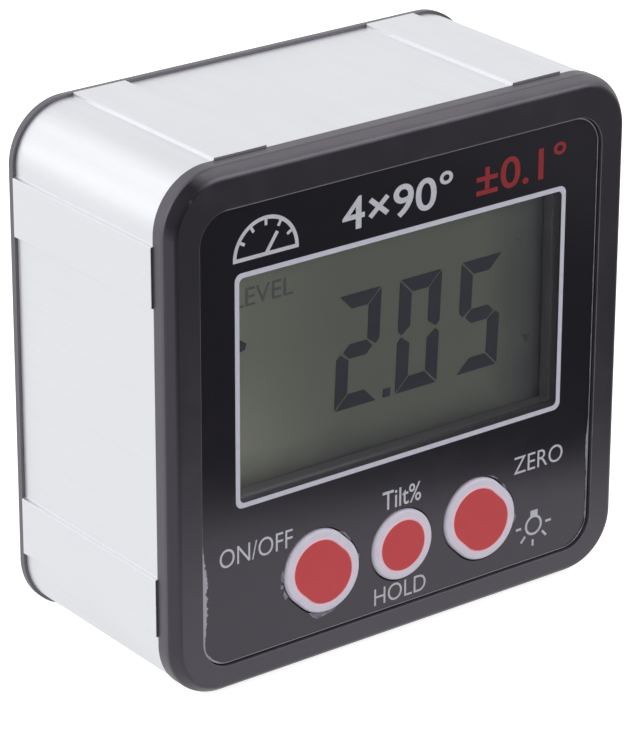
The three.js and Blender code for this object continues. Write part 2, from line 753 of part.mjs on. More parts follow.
// One plate at the right-hand end for the cell at the given height, with or without a coil.
function contactSolid(cellZ, low, high, sprung) {
  const plate = block(plateInner, plateInner + contactThickness,
    contactDepth, contactDepth + contactReach, low, high);
  return sprung ? plate.add(coilSolid().translate([0, cellDepth, cellZ])) : plate;
}

function solderTab(z) {
  return block(plateInner, plateInner + contactThickness, tabDepth, contactDepth + contactThickness,
    z - tabWidth / 2, z + tabWidth / 2);
}

const positive = contactSolid(upperCellZ, upperCellZ - contactHalf, upperCellZ + contactHalf, false)
  .add(solderTab(upperCellZ));
const negative = contactSolid(-upperCellZ, -upperCellZ - contactHalf, contactHalf - upperCellZ, true)
  .add(solderTab(-upperCellZ));
const bridge = contactSolid(-upperCellZ, -upperCellZ - contactHalf, upperCellZ + contactHalf, true)
  .rotate([0, 0, 180])
  .translate([0, 2 * cellDepth, 0])
  .mirror([0, 0, 1]);
add('contact_positive', positive, springSteel);
add('contact_negative', negative, springSteel);
add('contact_bridge', bridge, springSteel);

for (const z of [upperCellZ, -upperCellZ]) {
  cover = cover.subtract(block(plateInner - fitGap, bayHalfWidth + contactGap, bayFloorFront - overrun,
    bayFloorRear + overrun, z - tabSlotHalf, z + tabSlotHalf));
}
add('rear_cover', cover, blackPlastic);

// Cells: both lie along X, the upper one with its positive end to the right.

const cellEnd = plateInner - contactGap;
const cellGeometry = turned([
  [cellRadius - cellEdgeRound, cellEnd - cellLength],
  [cellRadius, cellEnd - cellLength + cellEdgeRound],
  [cellRadius, cellEnd - cellNubLength - cellEdgeRound],
  [cellRadius - cellEdgeRound, cellEnd - cellNubLength],
  [cellNubRadius, cellEnd - cellNubLength],
  [cellNubRadius, cellEnd],
], cellSegments);
['battery_cell_1', 'battery_cell_2'].forEach((name, i) => {
  const cell = add(name, cellGeometry, cellWrap);
  cell.rotation.z = i === 0 ? -Math.PI / 2 : Math.PI / 2;
  cell.position.set(0, cellDepth, i === 0 ? upperCellZ : -upperCellZ);
});

// Battery leads: from each solder tab down to the board.

function lead(z) {
  const top = tabDepth - leadGap;
  const end = boardRear + leadGap;
  const middle = (top + end) / 2;
  const path = new THREE.CatmullRomCurve3([
    new THREE.Vector3(plateMiddle, top, z),
    new THREE.Vector3(plateMiddle - leadDrop / 4, top - leadDrop / 2, z),
    new THREE.Vector3(plateMiddle - leadDrop, middle, z),
    new THREE.Vector3(plateMiddle - leadRun + leadDrop, middle, z),
    new THREE.Vector3(plateMiddle - leadRun + leadDrop / 4, end + leadDrop / 2, z),
    new THREE.Vector3(plateMiddle - leadRun, end, z),
  ]);
  const section = new THREE.Shape(circle(leadRadius, 0, 0, leadSegments));
  return toSolid(new THREE.ExtrudeGeometry(section, {
    steps: leadSteps, bevelEnabled: false, extrudePath: path,
  }));
}
add('battery_lead_positive', lead(upperCellZ), redWire);
add('battery_lead_negative', lead(-upperCellZ), blackWire);

// Battery door

const doorRight = coverHalfWidth - doorRightInset;
function doorSection(halfHeight, left, right, front, rear) {
  return block(left, right, front, rear, -halfHeight, halfHeight);
}
const gripRight = doorRight - gripEndDistance;
const gripLeft = gripRight - gripLength;
const ribPitch = gripLength / gripRibs;
// The door's right-hand end carries on the cover's chamfer.
const doorEnd = toSolid(loft([
  { outline: rectangle(doorLeft - overrun, doorRight, -doorHalfReach, doorHalfReach), depth: doorFront },
  {
    outline: rectangle(doorLeft - overrun, doorRight, -doorHalfReach, doorHalfReach),
    depth: doorRear - coverChamfer,
  },
  {
    outline: rectangle(doorLeft - overrun, doorRight - coverChamfer, -doorHalfReach, doorHalfReach),
    depth: doorRear,
  },
]));
let door = doorSection(doorHalfHeight, doorLeft, doorRight, doorFront, doorRear)
  .add(doorSection(doorHalfReach, doorLeft, doorRight, doorFront, tongueRear))
  .intersect(doorEnd)
  .subtract(doorSection(gripHalfHeight, gripLeft, gripRight, doorRear - gripDepth, doorRear + overrun));
for (let i = 0; i < gripRibs; i++) {
  const ribCentre = gripLeft + (i + 0.5) * ribPitch;
  const ribHalf = ribPitch * gripRibShare / 2;
  const gripFloor = doorRear - gripDepth;
  door = door.add(doorSection(gripHalfHeight, ribCentre - ribHalf, ribCentre + ribHalf,
    gripFloor - doorSink, gripFloor + gripRibHeight));
}
add('battery_door', door, blackPlastic);

// The part's own frame: origin under the middle of the body, front towards -Y.

body.position.set(0, -coverRear / 2, railTopZ);
const inclinometer = new THREE.Group();
inclinometer.name = 'inclinometer';
inclinometer.add(body);

export default inclinometer;
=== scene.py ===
"""The looks of a pocket digital inclinometer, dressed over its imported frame.

Metres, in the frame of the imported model: X to the right, Y from the front to the rear, Z up from the
surface that the part stands on. Most sizes are given in the face frame of the bezel: X, the depth
behind the bezel's front plane and the rise over the middle of the body.
"""
import logging
import math
from collections.abc import Callable, Iterator
from contextlib import contextmanager
from dataclasses import dataclass, replace
from enum import Enum

import bmesh
import bpy
from mathutils import Matrix, Vector


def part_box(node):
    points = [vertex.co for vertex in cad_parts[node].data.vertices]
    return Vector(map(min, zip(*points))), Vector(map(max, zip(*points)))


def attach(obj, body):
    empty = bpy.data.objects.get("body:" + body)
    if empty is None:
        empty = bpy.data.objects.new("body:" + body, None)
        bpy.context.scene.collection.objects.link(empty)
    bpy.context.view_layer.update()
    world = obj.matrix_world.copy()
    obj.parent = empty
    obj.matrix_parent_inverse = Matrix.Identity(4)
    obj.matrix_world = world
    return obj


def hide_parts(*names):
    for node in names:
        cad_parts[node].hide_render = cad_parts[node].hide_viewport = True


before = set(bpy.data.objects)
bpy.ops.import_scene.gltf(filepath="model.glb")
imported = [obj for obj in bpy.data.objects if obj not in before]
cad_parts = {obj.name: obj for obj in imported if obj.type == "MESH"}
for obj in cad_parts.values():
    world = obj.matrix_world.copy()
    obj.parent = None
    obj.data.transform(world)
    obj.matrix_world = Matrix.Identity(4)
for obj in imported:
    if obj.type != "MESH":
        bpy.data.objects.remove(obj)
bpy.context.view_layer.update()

MM = 0.001
BEZEL_LOW, BEZEL_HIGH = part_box("front_bezel")
FACE_Y = BEZEL_LOW.y
MIDDLE_Z = (BEZEL_LOW.z + BEZEL_HIGH.z) / 2
OVERRUN = 1 * MM
TOLERANCE = 0.02 * MM
SMOOTH_ANGLE = math.radians(35)
DIAGONAL = math.sqrt(0.5)
FORWARD = Vector((0, -1, 0))
REARWARD = Vector((0, 1, 0))
CORNERS = ((1, 1), (-1, 1), (-1, -1), (1, -1))
CORNER_STEPS = 24
SMALL_CORNER_STEPS = 8
SCREW_NUMBERS = range(1, 5)
log = logging.getLogger("inclinometer")

Triple = tuple[float, float, float]
Colour = Triple
Span = tuple[float, float]
Piece = bpy.types.Object
Material = bpy.types.Material
Socket = bpy.types.NodeSocket
Polygon = bpy.types.MeshPolygon
Test = Callable[..., bool]
Inputs = dict[str | int, object]

WHITE: Colour = (1.0, 1.0, 1.0)
# The range that most of a noise pattern's values lie in
NOISE_RANGE: Span = (0.3, 0.7)


class Body(Enum):
    """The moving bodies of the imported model."""

    HOUSING = "housing"
    LEFT_BUTTON = "left_button"
    MIDDLE_BUTTON = "middle_button"
    RIGHT_BUTTON = "right_button"
    DOOR = "door"


class Slot(Enum):
    """The record's material slots, which no piece here is given."""

    ALUMINIUM = "anodised_aluminium"
    BLACK_PLASTIC = "black_plastic"
    FILM = "printed_film"
    CLEAR = "clear_plastic"
    DISPLAY = "display_glass"
    SILVER_PLASTIC = "silver_plastic"
    RED_PLASTIC = "red_plastic"
    ZINC = "zinc_steel"
    MAGNET = "nickel_magnet"
    SLEEVE = "cell_sleeve"


# Modelling by hand, with Blender's own operators


def place(x: float, depth: float, rise: float) -> Vector:
    """Turns a place across, behind the bezel's front plane and over the middle into a packed one."""
    return Vector((x, FACE_Y + depth, MIDDLE_Z + rise))


def both_ways(reach: float) -> Span:
    """Gives a span that reaches as far to one side of the middle as to the other."""
    return (-reach, reach)


def middle_of(node: str) -> Vector:
    """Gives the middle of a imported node's box."""
    low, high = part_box(node)
    return (low + high) / 2


def clear_selection() -> None:
    """Leaves nothing selected, outside edit mode."""
    if bpy.context.mode != "OBJECT":
        bpy.ops.object.mode_set(mode="OBJECT")
    bpy.ops.object.select_all(action="DESELECT")


def take(obj: Piece) -> None:
    """Selects one object alone and makes it active."""
    clear_selection()
    obj.select_set(True)
    bpy.context.view_layer.objects.active = obj


@contextmanager
def editing(obj: Piece) -> Iterator[None]:
    """Opens a piece in edit mode with nothing selected, and closes it afterwards.

    Args:
        obj: The piece to open.
    """
    take(obj)
    bpy.ops.object.mode_set(mode="EDIT")
    bpy.ops.mesh.select_all(action="DESELECT")
    yield
    bpy.ops.object.mode_set(mode="OBJECT")


def pick(obj: Piece, kind: str, test: Test) -> None:
    """Selects the parts of an open piece that pass a test, and nothing else.

    Args:
        obj: The piece in edit mode.
        kind: Either VERT, EDGE or FACE.
        test: Says whether a vertex, edge or face is wanted.
    """
    bpy.ops.mesh.select_mode(type=kind)
    bpy.ops.mesh.select_all(action="DESELECT")
    shape = bmesh.from_edit_mesh(obj.data)
    parts = {"VERT": shape.verts, "EDGE": shape.edges, "FACE": shape.faces}[kind]
    for part in parts:
        if test(part):
            part.select_set(True)
    shape.select_flush_mode()
    bmesh.update_edit_mesh(obj.data)


def facing(axis: Vector, level: float | None = None) -> Test:
    """Makes a test for faces that look along an axis, at a given distance along it if one is named.

    Args:
        axis: The direction that the wanted faces look in.
        level: How far along the axis they lie, or None for any distance.

    Returns:
        The test for one face.
    """
    def test(face: bmesh.types.BMFace) -> bool:
        """Says whether this face is one of them."""
        if face.normal.dot(axis) < 0.99:
            return False
        return level is None or abs(face.calc_center_median().dot(axis) - level) < TOLERANCE

    return test


def depthwise(edge: bmesh.types.BMEdge) -> bool:
    """Says whether an edge runs from front to rear."""
    along = edge.verts[1].co - edge.verts[0].co
    return abs(along.y) > 0.99 * along.length


def at_depth(depth: float) -> Test:
    """Makes a test for edges that lie on one depth."""
    level = FACE_Y + depth
    return lambda edge: all(abs(vert.co.y - level) < TOLERANCE for vert in edge.verts)


def bevel_edges(obj: Piece, test: Test, offset: float, segments: int = 1) -> None:
    """Bevels the edges of an open piece that pass a test, each by an offset."""
    pick(obj, "EDGE", test)
    bpy.ops.mesh.bevel(offset=offset, segments=segments, affect="EDGES", clamp_overlap=False)


def extrude(way: Vector) -> None:
    """Draws the selected faces of the open piece out."""
    bpy.ops.mesh.extrude_region_move(TRANSFORM_OT_translate={"value": way})


def block(name: str, low: Vector, high: Vector) -> Piece:
    """Adds a block between two corners.

    Args:
        name: The object's name.
        low: The corner with the lowest coordinates.
        high: The corner with the highest coordinates.

    Returns:
        The new object, with its place in its mesh.
    """
    clear_selection()
    bpy.ops.mesh.primitive_cube_add(size=1, location=(low + high) / 2, scale=high - low)
    obj = bpy.context.object
    obj.name = name
    bpy.ops.object.transform_apply()
    return obj


def plate(name: str, across: Span, depths: Span, rises: Span, radius: float = 0.0,
          segments: int = 20) -> Piece:
    """Adds a plate with rounded corners that faces the front.

    Args:
        name: The object's name.
        across: Its left and right ends.
        depths: Its front and rear faces, as depths.
        rises: Its lower and upper edges.
        radius: The radius of its corners, or zero for square ones.
        segments: Steps in each rounded corner.

    Returns:
        The new object.
    """
    obj = block(name, place(across[0], depths[0], rises[0]), place(across[1], depths[1], rises[1]))
    if radius:
        with editing(obj):
            bevel_edges(obj, depthwise, radius, segments)
    return obj


def rod(name: str, radius: float, start: Vector, end: Vector, sides: int = 48) -> Piece:
    """Adds a round rod between two points on a line along one axis.

    Args:
        name: The object's name.
        radius: The rod's radius.
        start: The middle of its first end.
        end: The middle of its other end.
        sides: How many sides the circle has.

    Returns:
        The new object.
    """
    clear_selection()
    along = end - start
    turn = along.to_track_quat("Z", "Y").to_euler()
    bpy.ops.mesh.primitive_cylinder_add(vertices=sides, radius=radius, depth=along.length,
                                        location=(start + end) / 2, rotation=turn)
    obj = bpy.context.object
    obj.name = name
    bpy.ops.object.transform_apply()
    return obj


def flared_rod(name: str, radii: Span, start: Vector, neck: Vector, head: float,
               beyond: float = 0.0) -> Piece:
    """Adds a round rod along the depth that widens evenly towards its rear end.

    Args:
        name: The object's name.
        radii: The radius of its shank and of its rear end.
        start: The middle of its front end.
        neck: Where it starts to widen.
        head: The length of the wider part.
        beyond: How far the rear end goes on straight.

    Returns:
        The new object.
    """
    obj = rod(name, radii[0], start, neck)
    grow = radii[1] / radii[0]
    with editing(obj):
        pick(obj, "FACE", facing(REARWARD))
        extrude(REARWARD * head)
        bpy.ops.transform.resize(value=(grow, 1, grow), center_override=neck)
        if beyond:
            extrude(REARWARD * beyond)
    return obj


def oblong(name: str, radius: float, half_span: float, centre: Vector, depth: float) -> Piece:
    """Adds a disc that faces the front, drawn out along a line that falls to the right.

    Args:
        name: The object's name.
        radius: The radius of its round ends.
        half_span: How far each end moves out from the middle.
        centre: The middle of its front face.
        depth: Its thickness.

    Returns:
        The new object.
    """
    obj = rod(name, radius, centre + REARWARD * depth, centre, sides=100)
    if half_span:
        outward = Vector((DIAGONAL, 0, -DIAGONAL))
        with editing(obj):
            for side in (1, -1):
                pick(obj, "VERT", lambda vert: side * (vert.co - centre).dot(outward) > 0)
                bpy.ops.transform.translate(value=side * half_span * outward)
    return obj


def flat(name: str, corners: tuple[Span, ...], depths: Span) -> Piece:
    """Adds a thin plate with any outline, which faces the front.

    Args:
        name: The object's name.
        corners: Its corners across and up, in millimetres.
        depths: Its front and rear faces, as depths.

    Returns:
        The new object.
    """
    obj = rod(name, MM, place(0, depths[1], 0), place(0, depths[0], 0), len(corners))
    starts = [obj.data.vertices[2 * number].co.copy() for number in range(len(corners))]
    with editing(obj):
        for number, (across, rise) in enumerate(corners):
            pick(obj, "VERT", lambda vert: vert.index // 2 == number)
            away = place(across * MM, 0, rise * MM) - starts[number]
            bpy.ops.transform.translate(value=(away.x, 0, away.z))
        bpy.ops.mesh.select_all(action="SELECT")
        bpy.ops.mesh.normals_make_consistent(inside=False)
    return obj


def combine(obj: Piece, operation: str, *tools: Piece) -> Piece:
    """Adds or takes away other shapes, which are used up.

    Args:
        obj: The piece that changes.
        operation: Either UNION or DIFFERENCE.
        tools: The shapes to add or take away.

    Returns:
        The changed piece.
    """
    for tool in tools:
        take(obj)
        bpy.ops.object.modifier_add(type="BOOLEAN")
        modifier = obj.modifiers[-1]
        modifier.operation = operation
        modifier.solver = "EXACT"
        modifier.object = tool
        bpy.ops.object.modifier_apply(modifier=modifier.name)
        bpy.data.objects.remove(tool, do_unlink=True)
    return obj


def add_to(obj: Piece, *tools: Piece) -> Piece:
    """Joins other shapes to a piece."""
    return combine(obj, "UNION", *tools)


def cut_from(obj: Piece, *tools: Piece) -> Piece:
    """Takes other shapes away from a piece."""
    return combine(obj, "DIFFERENCE", *tools)


def soften(obj: Piece, width: float, segments: int = 2, angle: float = 30) -> None:
    """Rounds the sharp edges of a piece a little.

    Args:
        obj: The piece.
        width: How much each edge gives up.
        segments: Steps in the rounding.
        angle: The least angle of an edge that counts as sharp, in degrees.
    """
    take(obj)
    bpy.ops.object.modifier_add(type="BEVEL")
    modifier = obj.modifiers[-1]
    modifier.width = width
    modifier.segments = segments
    modifier.limit_method = "ANGLE"
    modifier.angle_limit = math.radians(angle)
    modifier.miter_outer = "MITER_ARC"
    bpy.ops.object.modifier_apply(modifier=modifier.name)


def gather(pieces: list[Piece], name: str) -> Piece:
    """Joins several objects into one.

    Args:
        pieces: The objects, the first of which stays.
        name: The name of the whole.

    Returns:
        The joined object.
    """
    take(pieces[0])
    for piece in pieces[1:]:
        piece.select_set(True)
    if len(pieces) > 1:
        bpy.ops.object.join()
    pieces[0].name = name
    return pieces[0]


def settle(obj: Piece, finishes: list[Material], stands_for: str = "",
           body: Body = Body.HOUSING) -> None:
    """Shades a finished piece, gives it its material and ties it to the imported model.

    Args:
        obj: The piece.
        finishes: Its materials, the first of which covers it unless faces say otherwise.
        stands_for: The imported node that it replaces, if any.
        body: The body that it moves with.
    """
    take(obj)
    bpy.ops.object.shade_smooth_by_angle(angle=SMOOTH_ANGLE)
    bpy.ops.object.modifier_add(type="WEIGHTED_NORMAL")
    obj.modifiers[-1].keep_sharp = True
    bpy.ops.object.modifier_apply(modifier=obj.modifiers[-1].name)
    obj.data.materials.clear()
    for finish in finishes:
        obj.data.materials.append(finish)
    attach(obj, body.value)
    if stands_for:
        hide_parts(stands_for)
    log.info("%s: %d faces", obj.name, len(obj.data.polygons))


# Faces of the bezel and the cover further out than this, across and up, belong to their rims
RIM_FROM: Span = (27.5 * MM, 26.6 * MM)


def on_rim(polygon: Polygon, least: float, most: float) -> bool:
    """Says whether a face of the bezel's or the cover's rim leans forward by the named measures."""
    middle = polygon.center
    return (least <= -polygon.normal.y < most
            and (abs(middle.x) > RIM_FROM[0] or abs(middle.z - MIDDLE_Z) > RIM_FROM[1]))


def on_side(polygon: Polygon) -> bool:
    """Says whether a face belongs to the outer wall of the bezel or the rear cover."""
    return on_rim(polygon, -0.35, 0.35)


def on_chamfer(polygon: Polygon) -> bool:
    """Says whether a face belongs to the bezel's outer chamfer."""
    return on_rim(polygon, 0.35, 0.97)


def not_front(polygon: Polygon) -> bool:
    """Says whether a face is any but a front one."""
    return polygon.normal.y > -0.9


def paint_faces(obj: Piece, index: int, test: Test) -> None:
    """Gives the faces that pass a test another of the piece's materials.

    Args:
        obj: The piece.
        index: The number of the material.
        test: Says whether a mesh polygon is wanted.
    """
    for polygon in obj.data.polygons:
        if test(polygon):
            polygon.material_index = index


# Finishes


class Tree:
    """The node tree of a material, or of the surroundings, while it is put together."""

    def __init__(self, name: str, world: bpy.types.World | None = None) -> None:
        """Starts an empty tree with its output and its coordinates.

        Args:
            name: The material's name.
            world: The surroundings, where the tree is theirs and not a material's.
        """
        self.owner = world or bpy.data.materials.new(name)
        self.owner.use_nodes = True
        self.nodes = self.owner.node_tree.nodes
        self.nodes.clear()
        self.output = self.nodes.new("ShaderNodeOutputWorld" if world else "ShaderNodeOutputMaterial")
        source = self.nodes.new("ShaderNodeTexCoord")
        self.coordinates = source.outputs["Generated" if world else "Object"]

    def add(self, kind: str, inputs: Inputs | None = None, **settings: object) -> bpy.types.Node:
        """Adds a node.

        Args:
            kind: The node's type, without the words that all types start with.
            inputs: Numbers, colours or outputs of other nodes for its sockets.
            settings: Values of the node's own settings.

        Returns:
            The new node.
        """
        node = self.nodes.new("ShaderNode" + kind)
        for key, value in settings.items():
            setattr(node, key, value)
        for key, value in (inputs or {}).items():
            if isinstance(value, Socket):
                self.owner.node_tree.links.new(value, node.inputs[key])
            else:
                socket = node.inputs[key]
                socket.default_value = (*value, 1.0) if socket.type == "RGBA" else value
        return node

    def axis(self, name: str) -> Socket:
        """Gives one of the coordinates."""
        return self.add("SeparateXYZ", {0: self.coordinates}).outputs[name]

    def stretched(self, scale: Triple) -> Socket:
        """Gives the coordinates multiplied by a scale for each axis."""
        return self.add("Mapping", {"Vector": self.coordinates, "Scale": scale}).outputs["Vector"]

    def noise(self, scale: float, detail: float = 3.0, vector: Socket | None = None,
              roughness: float = 0.5) -> Socket:
        """Adds a noise pattern.

        Args:
            scale: How many bumps it has in a metre.
            detail: How many finer layers it has.
            vector: The coordinates to read, or None for the plain ones.
            roughness: The strength of the finer layers.

        Returns:
            The pattern's value.
        """
        node = self.add("TexNoise", {"Vector": vector or self.coordinates, "Scale": scale,
                                     "Detail": detail, "Roughness": roughness})
        return node.outputs["Fac"]

    def spread(self, value: Socket, source: Span, target: Span = (0.0, 1.0)) -> Socket:
        """Maps a value from one range to another, held at its ends."""
        return self.add("MapRange", {"Value": value, "From Min": source[0], "From Max": source[1],
                                     "To Min": target[0], "To Max": target[1]}).outputs["Result"]

    def sum(self, operation: str, first: object, second: object = 0.0) -> Socket:
        """Adds one step of arithmetic, such as ADD, with one or two numbers or values."""
        return self.add("Math", {0: first, 1: second}, operation=operation).outputs["Value"]

    def vector(self, operation: str, first: object, second: Triple = (0.0, 0.0, 0.0)) -> Socket:
        """Adds one step of arithmetic on vectors, such as SUBTRACT or LENGTH."""
        node = self.add("VectorMath", {0: first, 1: second}, operation=operation)
        return node.outputs["Value" if operation in ("LENGTH", "DISTANCE") else "Vector"]

    def blend(self, share: object, first: object, second: object) -> Socket:
        """Mixes two colours by the share of the second."""
        return self.add("Mix", {"Factor": share, "A": first, "B": second}, data_type="RGBA").outputs[2]

    def overlay(self, share: object, first: Socket, second: Socket) -> Socket:
        """Mixes two surfaces by the share of the second."""
        return self.add("MixShader", {0: share, 1: first, 2: second}).outputs[0]

    def surface(self, kind: str, inputs: Inputs) -> Socket:
        """Adds a shader and gives its surface."""
        return self.add(kind, inputs).outputs[0]

    def bump(self, height: Socket, distance: float, strength: float = 1.0,
             normal: Socket | None = None) -> Socket:
        """Raises the surface by a pattern.

        Args:
            height: The pattern.
            distance: The height of its full value.
            strength: How much of it shows.
            normal: An earlier bump to add to, or None.

        Returns:
            The changed normal.
        """
        inputs: Inputs = {"Height": height, "Distance": distance, "Strength": strength}
        if normal is not None:
            inputs["Normal"] = normal
        return self.add("Bump", inputs).outputs["Normal"]

    def moulded(self, grain: float, relief: float) -> Socket:
        """Gives the normal of a surface from a spark-eroded mould."""
        return self.bump(self.noise(grain, 3.0, roughness=0.6), relief, 0.7)

    def principled(self, inputs: Inputs) -> Material:
        """Closes the tree with one surface shader, with the given values."""
        return self.close(self.surface("BsdfPrincipled", inputs))

    def close(self, surface: Socket) -> Material:
        """Ties a surface to the output and returns the material."""
        self.owner.node_tree.links.new(surface, self.output.inputs["Surface"])
        return self.owner


@dataclass(frozen=True)
class SatinAluminium:
    """Anodised aluminium with a faint drawn grain from front to rear."""

    name: str = "satin_aluminium"
    colour: Colour = (0.836, 0.846, 0.878)
    worn_colour: Colour = (0.816, 0.826, 0.858)
    metallic: float = 0.75
    roughness: Span = (0.36, 0.46)
    grain_across: float = 2600.0
    grain_along: float = 60.0
    blast: float = 9000.0
    clouds: float = 90.0
    relief: float = 0.0008 * MM

    def make(self) -> Material:
        """Builds the material."""
        tree = Tree(self.name)
        drawn = tree.stretched((self.grain_across, self.grain_along, self.grain_across))
        grain = tree.noise(1.0, 4.0, drawn, 0.65)
        tone = tree.spread(tree.sum("ADD", grain, tree.noise(self.clouds, 2.0)), (0.7, 1.3))
        bump = tree.bump(grain, self.relief)
        bump = tree.bump(tree.noise(self.blast, 2.0), self.relief, 0.6, bump)
        return tree.principled({
            "Base Color": tree.blend(tone, self.colour, self.worn_colour),
            "Metallic": self.metallic,
            "Roughness": tree.spread(grain, NOISE_RANGE, self.roughness),
            "Normal": bump,
        })


@dataclass(frozen=True)
class SawnAluminium:
    """The bare cut ends of the extrusion, with the saw's fine lines."""

    name: str = "sawn_aluminium"
    colour: Colour = (0.30, 0.295, 0.31)
    dark_end_colour: Colour = (0.075, 0.062, 0.055)
    dark_end_below: float = 27.5 * MM
    dark_end_fade: float = 1 * MM
    lines: Triple = (300.0, 300.0, 5200.0)
    relief: float = 0.01 * MM

    def make(self) -> Material:
        """Builds the material, darker below the upper rails."""
        tree = Tree(self.name)
        lines = tree.noise(1.0, 2.0, tree.stretched(self.lines))
        # The cut ends below the upper rails are drawn darker than the ends of the upper rails
        level = MIDDLE_Z + self.dark_end_below
        bare = tree.spread(tree.axis("Z"), (level - self.dark_end_fade, level), (0.0, 0.8))
        tone = tree.sum("ADD", bare, tree.spread(lines, NOISE_RANGE, (0.0, 0.2)))
        return tree.principled({
            "Base Color": tree.blend(tone, self.dark_end_colour, self.colour),
            "Metallic": 0.2,
            "Roughness": 0.5,
            "Normal": tree.bump(lines, self.relief),
        })


@dataclass(frozen=True)
class MouldedPlastic:
    """Moulded plastic with a fine spark-eroded grain, paler where it is rubbed."""

    name: str
    colour: Colour
    rubbed_colour: Colour
    roughness: Span = (0.42, 0.55)
    grain: float = 5200.0
    relief: float = 0.012 * MM
    rubbed: float = 140.0
    ior: float = 1.5
    specular: float = 0.5
    gloss_tint: Colour = WHITE

    def make(self) -> Material:
        """Builds the material."""
        tree = Tree(self.name)
        rub = tree.noise(self.rubbed, 5.0, roughness=0.7)
        return tree.principled({
            "Base Color": tree.blend(tree.spread(rub, (0.5, 0.8)), self.colour, self.rubbed_colour),
            "Roughness": tree.spread(rub, NOISE_RANGE, self.roughness),
            "IOR": self.ior,
            "Specular IOR Level": self.specular,
            "Specular Tint": self.gloss_tint,
            "Normal": tree.moulded(self.grain, self.relief),
        })


@dataclass(frozen=True)
class PrintedFilm:
    """Black film printed from behind, with a painted highlight along its edges, and pale worn chips and
    rubbed places.
    """

    name: str = "printed_film"
    colour: Colour = (0.0145, 0.0135, 0.0175)
    edge_highlight_and_wear_colour: Colour = (0.42, 0.42, 0.47)
    roughness: Span = (0.17, 0.23)
    specular: float = 0.74
    gloss_tint: Colour = (0.92, 0.85, 1.0)
    half_size: Span = (26.15 * MM, 25.15 * MM)
    centre_rise: float = -0.6 * MM
    corner_radius: float = 3.4 * MM
    edge_highlight_width: float = 0.13 * MM
    chip_reach: float = 0.5 * MM
    chipped_rises: Span = (-25 * MM, -8 * MM)
    chipped_across: Span = (23.5 * MM, 25.6 * MM)
    left_rub: Triple = (-17.6 * MM, 6.5 * MM, 0.62 * MM)
    right_rub: Triple = (-14.5 * MM, 3.6 * MM, 0.26 * MM)
    wander: float = 420.0
    tears: float = 1300.0
    haze: float = 300.0
    smears: Triple = (40.0, 40.0, 260.0)
    ripples: float = 700.0
    relief: float = 0.004 * MM

    def make(self) -> Material:
        """Builds the material, with the distance to the film's outline worked out on its face."""
        tree = Tree(self.name)
        centred = tree.vector("SUBTRACT", tree.coordinates, (0, 0, MIDDLE_Z + self.centre_rise))
        inner = (self.half_size[0] - self.corner_radius, 0, self.half_size[1] - self.corner_radius)
        beyond = tree.vector("SUBTRACT", tree.vector("ABSOLUTE", centred), inner)
        outside = tree.vector("MAXIMUM", tree.vector("MULTIPLY", beyond, (1, 0, 1)))
        inset = tree.sum("SUBTRACT", self.corner_radius, tree.vector("LENGTH", outside))
        parts = tree.add("SeparateXYZ", {0: centred})
        chips = self.chips(tree, parts.outputs["X"], parts.outputs["Z"])
        # A thin painted highlight along the whole edge, widened by the worn chips and rubbed places
        edge = tree.spread(tree.sum("SUBTRACT", inset, chips),
                           (self.edge_highlight_width * 0.6, self.edge_highlight_width * 1.3), (1.0, 0.0))
        haze = tree.noise(self.haze, 4.0, roughness=0.7)
        smears = tree.noise(1.0, 3.0, tree.stretched(self.smears))
        return tree.principled({
            "Base Color": tree.blend(edge, self.colour, self.edge_highlight_and_wear_colour),
            "Roughness": tree.spread(tree.sum("MULTIPLY", haze, smears), (0.15, 0.4), self.roughness),
            "Specular IOR Level": self.specular,
            "Specular Tint": self.gloss_tint,
            "Normal": tree.bump(tree.noise(self.ripples, 2.0), self.relief, 0.4),
        })

    def chips(self, tree: Tree, across: Socket, rise: Socket) -> Socket:
        """Works out how far the pale edge reaches in: chips along the lower sides and two rubbed places.

        Args:
            tree: The material's tree.
            across: How far a place lies to the right of the film's middle.
            rise: How far it lies above the film's middle.

        Returns:
            The reach of the pale edge.
        """
        wander = tree.spread(tree.noise(self.wander, 6.0, roughness=0.75), (0.45, 0.72),
                             (0.0, self.chip_reach))
        low = tree.spread(rise, self.chipped_rises, (1.0, 0.15))
        ends = tree.spread(tree.sum("ABSOLUTE", across), self.chipped_across)
        chips = tree.sum("MULTIPLY", tree.sum("MULTIPLY", wander, low), ends)
        ragged = tree.spread(tree.noise(self.tears, 4.0, roughness=0.7), (0.35, 0.6), (0.55, 1.1))
        for (middle, reach, width), side in ((self.left_rub, -1.0), (self.right_rub, 1.0)):
            away = tree.sum("ABSOLUTE", tree.sum("SUBTRACT", rise, middle - self.centre_rise))
            rub = tree.spread(away, (0.35 * reach, reach), (width, 0.0))
            here = tree.sum("GREATER_THAN", tree.sum("MULTIPLY", across, side), 0.0)
            rub = tree.sum("MULTIPLY", tree.sum("MULTIPLY", rub, ragged), here)
            chips = tree.sum("MAXIMUM", chips, rub)
        return chips


